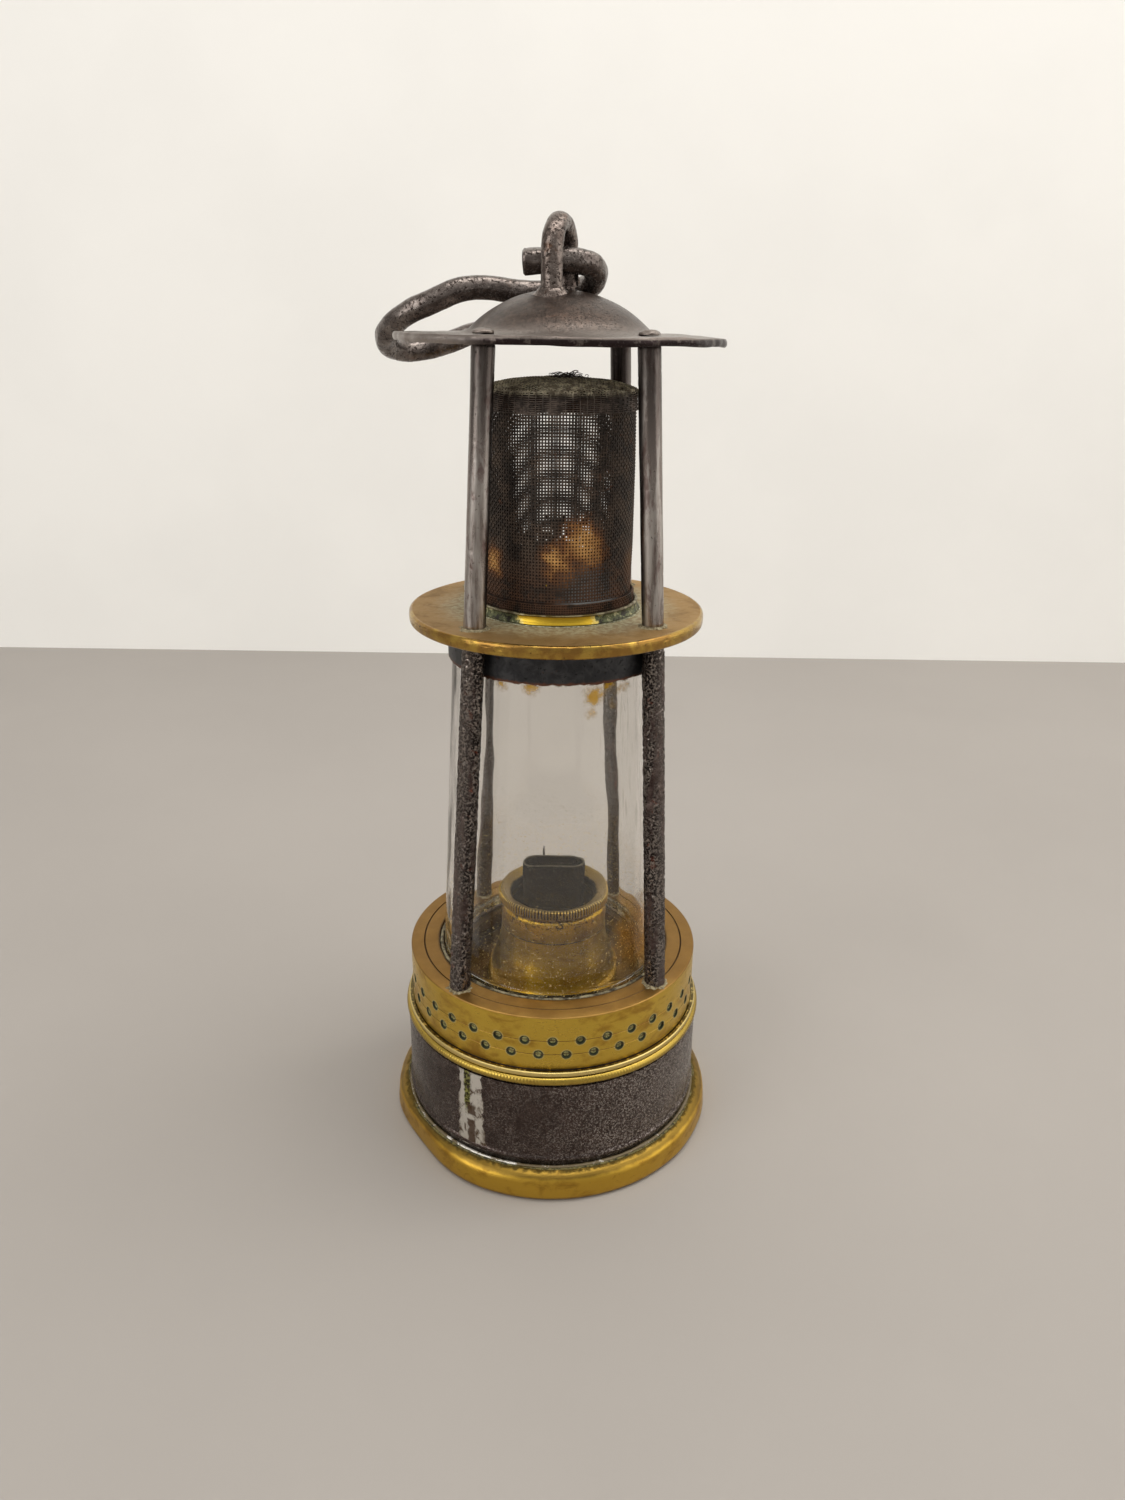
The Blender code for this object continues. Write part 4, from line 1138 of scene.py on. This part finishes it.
def wick(material):
    width, depth, bottom, top = extent("wick")
    rings = []
    for step in range(81):
        height = bottom + (top - bottom) * step / 80
        shrink = 0.5 if step == 80 else 0.0
        oval = oval_ring(width - shrink, depth - shrink)
        rings.append([
            (x, y, height - (0.7 * abs(wave(x, y, 9.0)) if step == 80 else 0.0))
            for x, y in oval])
    for share, sink in ((0.86, 0.9), (0.60, 2.2), (0.25, 2.6)):
        rings.append([(x * share, y * share, top - sink - 0.5 * wave(x, y, share))
                      for x, y in oval_ring(width, depth)])
    bm = stacked(rings, False)
    push(bm, lambda place: -0.05 + 0.05 * math.sin(place.x * 4.0) * math.sin(place.z * 3.0))
    make_piece(bm, "wick_braid", material, "wick", "wick", 60.0)


def kept_parts(material, *names):
    """CAD pieces whose shape is already right only get a better material."""
    for name in names:
        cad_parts[name].data.materials.clear()
        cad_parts[name].data.materials.append(material)


def pricker(material):
    x, y = -3.0, 6.8
    lowered, wire = 0.7, 0.36
    top = extent("pricker")[3] - lowered
    bend = top - wire
    line = smooth_line([(x, y, 1.8), (x, y, 20), (x, y, 40), (x, y, 60), (x, y, bend - 2.5),
                        (x, y - 0.4, bend - 0.9), (x, y - 1.7, bend - 0.1), (x, y - 6.1, bend)], 4)
    rod = tube(line, wire, 12, 0.15, (1.0, 0.0, 0.0))
    handle = [
        [(x + 3.6 + px * s, y + py * s, height) for px, py in oval_ring(11.0, 3.2)]
        for height, s in ((1.05, 0.92), (1.3, 1.0), (2.3, 1.0), (2.55, 0.92))]
    stacked(handle, False, rod)
    make_piece(rod, "pricker_wire", material, "pricker", "pricker")


# --- frame ------------------------------------------------------------------

def air_ring(material):
    radius, bottom, top = span("air_ring")
    bore, thread, flange = 31.5, 37.3, top - 5.4
    line_radius = 35.66
    corners = [(thread, bottom, 0.2), (radius, bottom, 0.25)]
    for level in AIR_ROWS:
        corners += [(r, z, 0) for r, z in reversed(groove(radius, level, 0.30, 0.16))]
    corners += [
        (radius, top, 0.45), (line_radius + 0.2, top, 0), (line_radius, top - 0.2, 0),
        (line_radius - 0.2, top, 0), (bore, top, 0.4), (bore, flange, 0), (thread, flange, 0),
    ]
    bm = lathe(divided(softened(corners, 3), 2.2), 256)
    push(bm, lambda place: lumps(place, 12.0, 0.05, 2.0))
    ring = make_piece(bm, "air_ring_casting", material, "frame", "air_ring")
    drills = bmesh.new()
    for row, height in enumerate(AIR_ROWS):
        for index in range(AIR_HOLES):
            turn = AIR_HOLE_PHASE + math.tau * (index + 0.5 * row) / AIR_HOLES
            wobble = 0.12 * wave(turn * 9.0, height, 1.0)
            depth = 0.40 + 0.25 * wave(turn * 7.0, 3.0, height)
            place = (
                Matrix.Rotation(turn, 4, "Z")
                @ Matrix.Translation((radius + 1.0 - depth, wobble, height - wobble))
                @ Matrix.Rotation(math.pi / 2, 4, "Y")
            )
            bmesh.ops.create_cone(drills, cap_ends=True, segments=20, radius1=AIR_HOLE_RADIUS,
                                  radius2=AIR_HOLE_RADIUS + 0.05, depth=2.0, matrix=place)
    cutter = new_object(drills, "drills")
    modifier = ring.modifiers.new("holes", "BOOLEAN")
    modifier.operation = "DIFFERENCE"
    modifier.solver = "EXACT"
    modifier.object = cutter
    bpy.context.view_layer.update()
    shape = bpy.data.meshes.new_from_object(
        ring.evaluated_get(bpy.context.evaluated_depsgraph_get()))
    ring.modifiers.clear()
    ring.data = shape
    bpy.data.objects.remove(cutter, do_unlink=True)
    shape.shade_smooth()
    shape.set_sharp_from_angle(angle=math.radians(30))


def air_gauze(material):
    radius, bottom, top = span("air_gauze")
    groups = woven_tube(radius - 0.3, bottom, top, 0.95, 0.2, 210)
    make_piece(wire_mesh(groups), "air_gauze_weave", material, "frame", "air_gauze", 80.0)


def washers(material):
    for node, body, inner in (("lower_washer", "frame", 26.0), ("upper_washer", "frame", 21.4),
                              ("leather_washer", "washer", 37.2)):
        radius, bottom, top = span(node)
        outline = softened([(inner, bottom, 0.1), (radius, bottom, 0.25), (radius, top, 0.25),
                            (inner, top, 0.1)])
        make_piece(lathe(outline, MEDIUM), node + "_disc", material, body, node)


def glass(material):
    radius, bottom, top = span("glass")
    top_radius, wall = 25.7, 4.5
    turned("lamp_glass", [
        (radius - wall, bottom, 1.2), (radius, bottom, 1.4), (top_radius, top, 0.8),
        (top_radius - wall, top, 0.8),
    ], material, "frame", "glass",
        lambda place: lumps(place, 18.0, 0.07, 6.0), arcs=5, longest=5.0)


def glass_holder(material):
    """Black iron ring whose lower edge has rusted to an uneven line."""
    radius, bottom, top = span("glass_holder")
    wider, deeper, wall = 0.3, 2.0, 0.65
    radius, bottom = radius + wider, bottom - deeper
    inner, seat = radius - wall, 141.5
    outline = [(20.5, seat), (inner, seat)]
    outline += [(inner, seat - (seat - bottom) * step / 6) for step in range(1, 7)]
    outline += [(radius, bottom + (seat - bottom) * step / 6) for step in range(0, 7)]
    outline += [(radius, top - 0.4), (radius - 0.3, top), (20.5, top)]
    bm = lathe(outline, 320)
    for vertex in bm.verts:
        if vertex.co.z < bottom + 1.2:
            out = vertex.co.to_2d().to_3d() / 1.1
            vertex.co.z += lumps(out, 2.0, 0.35) + lumps(out, 1.0, 0.20) - 0.25
    make_piece(bm, "holder_ring", material, "frame", "glass_holder")


def mid_plate(material):
    radius, bottom, top = span("mid_plate")

    def nicks(place):
        out = place.to_2d().length
        if out < radius - 1.6:
            return lumps(place, 16.0, 0.06, 2.0)
        return lumps(place, 20.0, 0.08, 3.0) + pits(place, 0.8, 0.14, 0.03, 5.0)
    turned("mid_plate_disc", [
        (17.0, bottom, 0.3), (radius - 0.2, bottom, 1.3), (radius, (bottom + top) / 2, 0.6),
        (radius - 0.2, top, 1.3), (17.0, top, 0.3),
    ], material, "frame", "mid_plate", nicks, arcs=6, steps=320)


def gauze_collar(material):
    radius, bottom, top = span("gauze_collar")
    turned("collar_cup", [
        (17.0, bottom, 0.1), (radius + 0.7, bottom, 0.15), (radius + 0.1, bottom + 0.8, 0.4),
        (radius, top - 0.5, 0.1), (radius + 0.25, top - 0.3, 0.15), (radius + 0.1, top, 0.15),
        (19.2, top, 0.1), (19.2, 148.7, 0), (17.0, 148.7, 0),
    ], material, "frame", "gauze_collar",
        lambda place: lumps(place, 4.0, 0.06, 1.0), arcs=2, longest=1.0)


def gauze_base_ring(wire_material, backing_material):
    """The gauze's folded foot: a closer weave over a rusty strip."""
    radius, bottom, top = span("gauze_base_ring")
    groups = woven_tube(radius - 0.26, bottom + 0.1, top + 0.3, 0.56, 0.14, 200)
    bm = wire_mesh(groups)
    push(bm, lambda place: lumps(place, 4.0, 0.10, 2.0))
    make_piece(bm, "gauze_foot_weave", wire_material, "frame", None, 80.0)
    inner, outer = radius - 0.7, radius - 0.40
    corners = [(inner, bottom, 0), (outer, bottom, 0.1), (outer, top, 0.1), (inner, top, 0.1)]
    turned("gauze_foot_band", corners, backing_material, "frame", "gauze_base_ring",
           arcs=2, longest=1.2)


def woven_tube(radius, bottom, top, pitch, wire, count):
    """Plain-woven wire: upright wires and level hoops that cross over and under.

    wire is a radius, or (height, radius) pairs from the bottom up.
    """
    rows = int((top - bottom) / pitch)
    angles = np.arange(count) * math.tau / count
    out = np.stack([np.cos(angles), np.sin(angles), np.zeros(count)], axis=1)
    levels = bottom + pitch * (np.arange(rows) + 0.5)
    wire = np.interp(levels, *np.transpose(wire)) if np.ndim(wire) else np.full(rows, wire)
    lift = wire.min() * 0.95
    sign = np.where((np.arange(count)[:, None] + np.arange(rows)[None, :]) % 2 == 0, 1.0, -1.0)
    ups = out[:, None, :] * (radius + lift * sign)[:, :, None]
    ups[:, :, 2] = levels[None, :]
    outward = np.repeat(out[:, None, :], rows, axis=1)
    hoops = out[None, :, :] * (radius - lift * sign.T)[:, :, None]
    hoops[:, :, 2] = levels[:, None]
    return [
        wires(ups, outward, wire[None, :, None], False),
        wires(hoops, np.repeat(out[None, :, :], rows, axis=0), wire[:, None, None], True),
    ]


def bulged(points, radius):
    """The gauze's slight waviness, the same for its wires and for what fills its meshes."""
    for co in points:
        bulge = 0.30 * wave(co.x / 12, co.y / 12, co.z / 15)
        co.x += bulge * co.x / radius
        co.y += bulge * co.y / radius


def gauze(material):
    radius, bottom, top = span("gauze")
    thickness = ((bottom, 0.23), (164.0, 0.245), (176.0, 0.225), (190.0, 0.195))
    groups = woven_tube(radius - 0.34, bottom, top - 1.0, GAUZE_PITCH, thickness, GAUZE_WIRES)
    bm = wire_mesh(groups)
    bulged([vertex.co for vertex in bm.verts], radius)
    make_piece(bm, "gauze_weave", material, "frame", "gauze", 80.0)


def gauze_clog(material):
    """Rust and soot filling the meshes one by one: most of the low ones, fewer higher up."""
    radius, bottom, top = span("gauze")
    chance = random.Random(7)
    half, middle, thick = GAUZE_PITCH * 0.40, radius - 0.34, 0.07
    fade = 12.0               # height over which the filled meshes give out
    bm = bmesh.new()
    for column in range(GAUZE_WIRES):
        angle = math.tau * (column + 0.5) / GAUZE_WIRES
        out = Vector((math.cos(angle), math.sin(angle), 0.0))
        side = Vector((-out.y, out.x, 0.0))
        for row in range(int((top - bottom) / GAUZE_PITCH) - 2):
            height = bottom + GAUZE_PITCH * (row + 1)
            line = 168.0 + 5.0 * noise.noise(out * 1.8 + Vector((0, 0, 3)))
            if chance.random() > (line - height) / fade:
                continue
            centre = out * middle + Vector((0, 0, height))
            corners = []
            for depth in (-thick, thick):
                for across, up in ((-1, -1), (1, -1), (1, 1), (-1, 1)):
                    corners.append(bm.verts.new(
                        centre + out * depth + side * across * half + Vector((0, 0, up * half))))
            for face in BOX_FACES:
                bm.faces.new([corners[index] for index in face])
    bulged([vertex.co for vertex in bm.verts], radius)
    make_piece(bm, "gauze_clog", material, "frame", None)


def cap_height(distance, top, radius):
    """Height of the cap's low dome at a distance from the axis."""
    share = min(1.0, distance / radius)
    return top - 2.6 * share ** 2.6


def gauze_cap(wire_material, skin_material):
    radius, bottom, top = span("gauze_cap")
    groups = woven_tube(radius - 0.35, bottom, top - 2.4, 0.42, 0.17, 72)
    pitch, wire = 0.66, 0.16
    reach = radius - 0.4
    count = int(reach / pitch)
    for turned_wire in (False, True):
        for index in range(-count, count + 1):
            offset = index * pitch
            half = math.sqrt(max(0.0, reach ** 2 - offset ** 2))
            steps = max(4, int(half / pitch))
            path = []
            for step in range(-steps, steps + 1):
                along = half * step / steps
                lift = wire * (1 if (index + step + turned_wire) % 2 == 0 else -1)
                height = cap_height(math.hypot(offset, along), top - 0.35, radius) + lift
                path.append((offset, along, height) if turned_wire else (along, offset, height))
            groups.append(lone_wire(path, (0.0, 0.0, 1.0), wire))
    bm = wire_mesh(groups)
    for vertex in bm.verts:
        over = max(0.0, vertex.co.z - (top - 4.6)) / 2.2
        if vertex.co.to_2d().length > radius - 1.0:
            vertex.co -= vertex.co.to_2d().normalized().to_3d() * 0.9 * over ** 2
            vertex.co.z += lumps(vertex.co, 6.0, 0.5)
    push(bm, lambda place: lumps(place, 5.0, 0.22, 9.0))
    make_piece(bm, "cap_weave", wire_material, "frame", "gauze_cap", 80.0)
    outline = [(0, top - 0.95), (8, top - 1.2), (13, top - 2.0), (reach - 0.6, top - 3.6),
               (reach - 0.45, bottom + 0.4), (reach - 0.75, bottom + 0.4), (reach - 0.9, top - 4.0),
               (12.7, top - 2.4), (8, top - 1.6), (0, top - 1.35)]
    outline = divided(outline[::-1], 3.0)
    make_piece(lathe(outline, MEDIUM), "cap_lining", skin_material, "frame", None)


def frayed_wires(material):
    """A low tuft of broken, curled wires on top of the cap."""
    _, _, top = span("gauze_cap")
    groups = []
    for index in range(60):
        seed = Vector((index * 1.7, 3.1, 5.3))
        x = 1.6 + 5.5 * noise.noise(seed)
        y = -2.0 + 2.4 * noise.noise(seed + Vector((9, 0, 0)))
        lean_x = 3.5 * noise.noise(seed + Vector((0, 9, 0)))
        lean_y = 2.5 * noise.noise(seed + Vector((0, 0, 9)))
        tall = 0.8 + 2.0 * abs(noise.noise(seed * 2.0))
        path = []
        for step in range(11):
            t = step / 10
            curl = 0.8 * math.sin(t * 5.0 + index)
            path.append((x + lean_x * t + curl, y + lean_y * t, top - 0.9 + tall * math.sin(t * 2.2)))
        groups.append(lone_wire(path, (0.1, 0.2, 1.0), 0.085))
    make_piece(wire_mesh(groups), "frayed_wires", material, "frame", None, 80.0)


def pillar_line(node, rod, bottom, top):
    """Centre line of a pillar between two heights, read from its CAD node's box."""
    low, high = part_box(node)
    foot, head = [], []
    for axis in (0, 1):
        sign = 1.0 if low[axis] + high[axis] > 0 else -1.0
        foot.append(sign * (max(abs(low[axis]), abs(high[axis])) / MM - rod))
        head.append(sign * (min(abs(low[axis]), abs(high[axis])) / MM + rod))
    return Vector((*foot, bottom)), Vector((*head, top))


def pillars(lower_material, upper_material, rivet_material, crust):
    _, _, ring_top = span("air_ring")
    _, plate_bottom, plate_top = span("mid_plate")
    under_brim = 208.2
    for index, name in enumerate(("back_right", "back_left", "front_left", "front_right")):
        seed = 5.3 * index + 2.1

        def pitted(place):
            return (lumps(place, 3.0, 0.08, seed) + pits(place, 0.62, 0.30, 0.42, seed)
                    + pits(place, 0.36, 0.14, 0.38, seed + 4))

        def worn(place):
            return lumps(place, 9.0, 0.06, seed) + pits(place, 0.7, 0.12, 0.03, seed)
        foot, _ = pillar("lower", name, LOWER_ROD, ring_top, plate_bottom, 190, pitted,
                         lower_material)
        crust_patch(foot, 2.9, "ring_crust_" + name, crust, seed)
        foot, head = pillar("upper", name, UPPER_ROD, plate_top, under_brim, 130, worn,
                            upper_material)
        crust_patch(foot, 3.1, "plate_crust_" + name, crust, seed + 9)
        rivet_head(head, name, rivet_material)


def pillar(tier, name, rod, bottom, top, rows, field, material):
    """One rod of the lower or upper tier; its two ends are returned."""
    node = tier + "_pillar_" + name
    foot, head = pillar_line(node, rod, bottom, top)
    line = [foot.lerp(head, row / rows) for row in range(rows + 1)]
    bm = tube(line, rod, 40, 0.15, (1.0, 0.0, 0.0))
    push(bm, field)
    make_piece(bm, tier + "_rod_" + name, material, "frame", node, 70.0)
    return foot, head


def rivet_head(head, name, material):
    """The pillar's end, hammered flat on the brim."""
    _, _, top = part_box("upper_pillar_" + name)[1] / MM
    button = [(0, -1.2, 0), (2.3, -1.2, 0.2), (2.2, -0.7, 0.4), (1.2, -0.15, 0.5), (0, -0.1, 0)]
    bm = lathe(softened(button), 40)
    push(bm, lambda place: lumps(place, 1.4, 0.25, len(name)))
    bmesh.ops.translate(bm, vec=(head.x, head.y, top - 0.3), verts=bm.verts)
    make_piece(bm, "rivet_head_" + name, material, "frame", None, 60.0)


def crust_patch(middle, radius, name, material, seed):
    """A thin uneven skirt of dirt round a pillar's foot."""
    bm = lathe([(0, -0.05), (radius + 0.5, -0.05), (radius + 0.1, 0.10), (radius - 0.3, 0.35),
                (radius - 0.8, 0.4), (0, 0.4)], 64)
    for vertex in bm.verts:
        out = vertex.co.to_2d().length
        if out > radius - 0.5:
            swell = 1 + 0.30 * noise.noise(vertex.co * 0.9 + Vector((seed, 0, 0)))
            vertex.co.x *= swell
            vertex.co.y *= swell
    bmesh.ops.translate(bm, vec=middle, verts=bm.verts)
    make_piece(bm, name, material, "frame", None, 60.0)


def hood(material):
    """Ogee canopy with a ragged, slightly warped brim."""
    radius, _, _ = span("hood")
    brim, thick, dome_radius, dome_top = 210.0, 1.2, 20.8, 219.3
    brim_thick = 1.7
    rise = dome_top - brim - 0.6
    sphere = (dome_radius ** 2 + rise ** 2) / (2 * rise)
    centre = dome_top - sphere
    upper = [(radius, brim - 0.45), (radius - 0.3, brim)]
    upper += [(radius - (radius - 24.5) * step / 12, brim) for step in range(1, 12)]
    upper += [(23.6, brim + 0.05), (22.4, brim + 0.3), (21.4, brim + 0.65)]
    under = []
    for step in range(25):
        out = 20.4 * (1 - step / 24)
        upper.append((out, centre + math.sqrt(sphere ** 2 - out ** 2)))
        under.append((out * 0.97, centre + math.sqrt((sphere - thick) ** 2 - (out * 0.97) ** 2)))
    under.reverse()
    under += [(22.6, brim - brim_thick)]
    under += [(22.6 + (radius - 0.3 - 22.6) * step / 8, brim - brim_thick) for step in range(1, 9)]
    under += [(radius, brim - brim_thick + 0.4), (radius + 0.05, brim - 0.9)]
    bm = lathe(upper + under, 288)
    for vertex in bm.verts:
        place = vertex.co.copy()
        out = place.to_2d().length
        edge = max(0.0, (out - 33.0) / (radius - 33.0))
        ragged = lumps(place, 3.0, 0.35) + lumps(place, 11.0, 0.5)
        vertex.co.x += ragged * edge * place.x / max(out, 1.0)
        vertex.co.y += ragged * edge * place.y / max(out, 1.0)
        brim_share = clamped((out - 27.0) / 10.0)
        droop = 0.012 * max(0.0, place.x - 25.0) ** 2
        vertex.co.z += brim_share * (lumps(place, 14.0, 0.30) - 0.35 * droop)
        vertex.co.z += lumps(place, 4.0, 0.10)
    make_piece(bm, "hood_canopy", material, "frame", "hood", 45.0)


def eye_line():
    top = span("eye")[2] - EYE_ROD
    centre = top - EYE_HALF_WIDTH
    bottom = 218.4
    line = [(0.0, EYE_HALF_WIDTH, bottom + (centre - bottom) * step / 6) for step in range(6)]
    for step in range(25):
        angle = math.pi * step / 24
        line.append((0.0, EYE_HALF_WIDTH * math.cos(angle), centre + EYE_HALF_WIDTH * math.sin(angle)))
    line += [(0.0, -EYE_HALF_WIDTH, centre - (centre - bottom) * step / 6) for step in range(1, 7)]
    return [Matrix.Rotation(EYE_TURN, 3, "Z") @ Vector(point) for point in line]


def eye(material):
    bm = tube(smooth_line(eye_line(), 3), EYE_ROD, 32, 0.1, (1.0, 0.0, 0.0))
    turn = Matrix.Rotation(EYE_TURN, 4, "Z")
    broader = turn @ Matrix.Diagonal((EYE_BREADTH, 1, 1, 1)) @ turn.inverted()
    bmesh.ops.transform(bm, matrix=broader, verts=bm.verts)
    push(bm, lambda place: lumps(place, 3.0, 0.14, 2.0) + pits(place, 0.9, 0.12, 0.3, 6.0))
    make_piece(bm, "eye_staple", material, "frame", "eye", 60.0)
    dome, lean = 218.3, 0.22       # the dome's height at the welds, and its slope there
    weld = [(0, -0.9, 0), (4.6, -0.9, 0.5), (3.4, 0.4, 0.8), (2.5, 1.5, 0.4), (0, 1.6, 0)]
    for side, name in ((1, "back"), (-1, "front")):
        fillet = lathe(softened(weld), 64)
        push(fillet, lambda place: lumps(place, 1.8, 0.20, side * 3.0))
        middle = Matrix.Rotation(EYE_TURN, 3, "Z") @ Vector((0, side * EYE_HALF_WIDTH, dome))
        tilt = Matrix.Rotation(-side * lean, 3, "X")
        bmesh.ops.rotate(fillet, matrix=tilt, verts=fillet.verts, cent=(0, 0, 0))
        bmesh.ops.translate(fillet, vec=middle, verts=fillet.verts)
        make_piece(fillet, "eye_weld_" + name, material, "frame", None, 60.0)


def hook_line():
    start, slope_x, slope_y = BOW_PLANE
    centre_x, centre_y = BOW_CENTRE
    bow_steps = 8
    plan = []
    for step in range(bow_steps + 1):
        angle = -math.pi / 2 - math.pi * step / bow_steps
        plan.append((
            centre_x + BOW_RADIUS * math.cos(angle), centre_y + BOW_RADIUS * math.sin(angle)))
    plan += HOOK_TIP
    return list(HOOK_SHANK) + [(x, y, start + slope_x * x + slope_y * y) for x, y in plan]


def hook(material):
    """Forged hook: a slightly faceted rod with hammer marks and a chiselled end."""
    line = smooth_line(hook_line(), 10)
    taper, chiselled = 26, 14      # steps of the line that the tip and the blunt end take up

    def reach(index, angle):
        left = len(line) - 1 - index
        slim = 0.16 * max(0.0, 1 - left / taper)
        facets = 0.05 * math.cos(6 * angle)
        blunt = 0.10 * math.cos(4 * angle) * max(0.0, 1 - index / chiselled)
        return HOOK_ROD * (1 - slim) + facets + blunt - 0.02
    bm = tube(line, reach, 36, 0.45)
    push(bm, lambda place: lumps(place, 4.0, 0.16, 1.0) + lumps(place, 1.3, 0.05, 4.0)
         + pits(place, 1.0, 0.12, 0.28, 3.0))
    make_piece(bm, "hook_rod", material, "hook", "hook", 60.0)


# --- stage ------------------------------------------------------------------

def flat_sheet(name, corners, material):
    mesh = bpy.data.meshes.new(name)
    mesh.from_pydata([Vector(corner) * MM for corner in corners], [], [(0, 1, 2, 3)])
    mesh.materials.append(material)
    sheet = bpy.data.objects.new(name, mesh)
    bpy.context.collection.objects.link(sheet)


def stage():
    floor = stage_look("table_top", (0.338, 0.311, 0.285), 0.97)
    wall = stage_look("pale_wall", (0.90, 0.885, 0.85), 0.97)
    half, near, back, sunk, high = 1500, -1600, 440.0, -100, 1500
    flat_sheet("table", [(-half, near, 0), (half, near, 0), (half, back, 0), (-half, back, 0)], floor)
    flat_sheet("backdrop", [(-half, back, sunk), (half, back, sunk), (half, back, high),
                            (-half, back, high)], wall)


def soft_light(name, place, aim, size, power, colour):
    """An area light. Its place, aim and size are in metres."""
    data = bpy.data.lights.new(name, "AREA")
    data.shape = "RECTANGLE"
    data.size, data.size_y = size
    data.energy = power
    data.color = colour
    light = bpy.data.objects.new(name, data)
    light.location = Vector(place)
    light.rotation_euler = (Vector(aim) - Vector(place)).to_track_quat("-Z", "Y").to_euler()
    bpy.context.collection.objects.link(light)


def lights():
    aim = (0.0, 0.0, 0.11)
    soft_light("ceiling", (0.3, 0.1, 1.9), aim, (3.0, 2.4), 20.0, (1.0, 0.985, 0.96))
    soft_light("window_left", (-1.1, -0.85, 0.75), aim, (0.9, 1.2), 9.5, (1.0, 0.99, 0.97))
    soft_light("window_right", (1.3, -0.25, 0.65), aim, (1.5, 1.3), 8.0, (1.0, 0.98, 0.94))
    soft_light("wall_wash", (0.35, 0.05, 1.15), (0.12, 0.44, 0.1), (1.4, 0.3), 6.2, (1.0, 0.985, 0.95))
    world = bpy.data.worlds.new("room")
    world.use_nodes = True
    background = world.node_tree.nodes["Background"]
    background.inputs["Color"].default_value = (1.0, 0.97, 0.93, 1.0)
    background.inputs["Strength"].default_value = 0.42
    bpy.context.scene.world = world


def camera():
    """Photographer's view: close, 22 degrees down, with the picture turned a little."""
    data = bpy.data.cameras.new("camera")
    data.sensor_width = 36.0
    data.lens = 25.54
    data.clip_start = 0.01
    data.clip_end = 20.0
    eye_point = bpy.data.objects.new("camera", data)
    eye_point.location = Vector((2.0, -257.3, 213.5)) * MM
    down, roll = math.radians(22.133), math.radians(0.8)
    turn = Matrix.Rotation(math.pi / 2 - down, 3, "X") @ Matrix.Rotation(roll, 3, "Z")
    eye_point.rotation_euler = turn.to_euler()
    bpy.context.collection.objects.link(eye_point)
    bpy.context.scene.camera = eye_point


def colour_management():
    """Plain sRGB output, so that a material shows the colour it is given."""
    bpy.context.scene.view_settings.view_transform = "Standard"


def build():
    colour_management()
    iron = shell_iron()
    seam, fillet = solder_metal("seam_solder_look", False), solder_metal("foot_solder_look", True)
    dull, crust = dull_brass(), grime_look("crust_look", (0.13, 0.095, 0.045), (0.36, 0.31, 0.19))
    residue = grime_look("residue_look", (0.17, 0.15, 0.075), (0.48, 0.47, 0.33))
    dirt = grime_look("foot_dirt_look", (0.030, 0.022, 0.012), (0.30, 0.26, 0.16), 2.2)
    grime = grime_look("grime_look", (0.025, 0.024, 0.010), (0.20, 0.165, 0.055))
    hooks = hook_iron("hook_iron_look", (0.105, 0.084, 0.075), (0.200, 0.171, 0.155))
    staple = hook_iron("eye_iron_look", (0.108, 0.082, 0.070), (0.220, 0.182, 0.162))
    wire, hide = gauze_wire(), leather()
    black, steel, soot = black_iron(), upper_iron(), soot_metal()
    camera()
    lights()
    stage()
    base_flange(foot_brass())
    vessel_shell(iron)
    vessel_seam(seam)
    solder_fillet("foot_solder", 41.0, 8.0, 0.50, fillet, "vessel", 3.0)
    solder_fillet("foot_grime", 41.7, 7.9, 0.30, grime, "vessel", 7.0)
    vessel_collar(bead_brass())
    vessel_top(sooty_brass())
    burner_bell(dull)
    burner_ring(dull)
    kept_parts(soot, "wick_plate", "pricker_tube")
    kept_parts(sooty_brass(), "glass_ring")
    wick_tube(soot)
    wick(wick_cotton())
    pricker(iron)
    air_ring(ring_brass())
    air_gauze(wire)
    washers(hide)
    glass(clear_glass())
    solder_fillet("glass_foot_dirt", 30.9, 53.0, 0.42, dirt, "frame", 11.0)
    glass_holder(black)
    mid_plate(plate_brass())
    gauze_collar(collar_brass())
    solder_fillet("collar_residue", 20.5, 147.5, 0.26, residue, "frame", 5.0)
    gauze_base_ring(wire, clog_rust())
    gauze(wire)
    gauze_clog(clog_rust())
    gauze_cap(cap_wire(), clog_rust())
    frayed_wires(wire)
    sheet_iron = hood_iron()
    pillars(lower_iron(), steel, sheet_iron, crust)
    hood(sheet_iron)
    eye(staple)
    hook(hooks)


build()
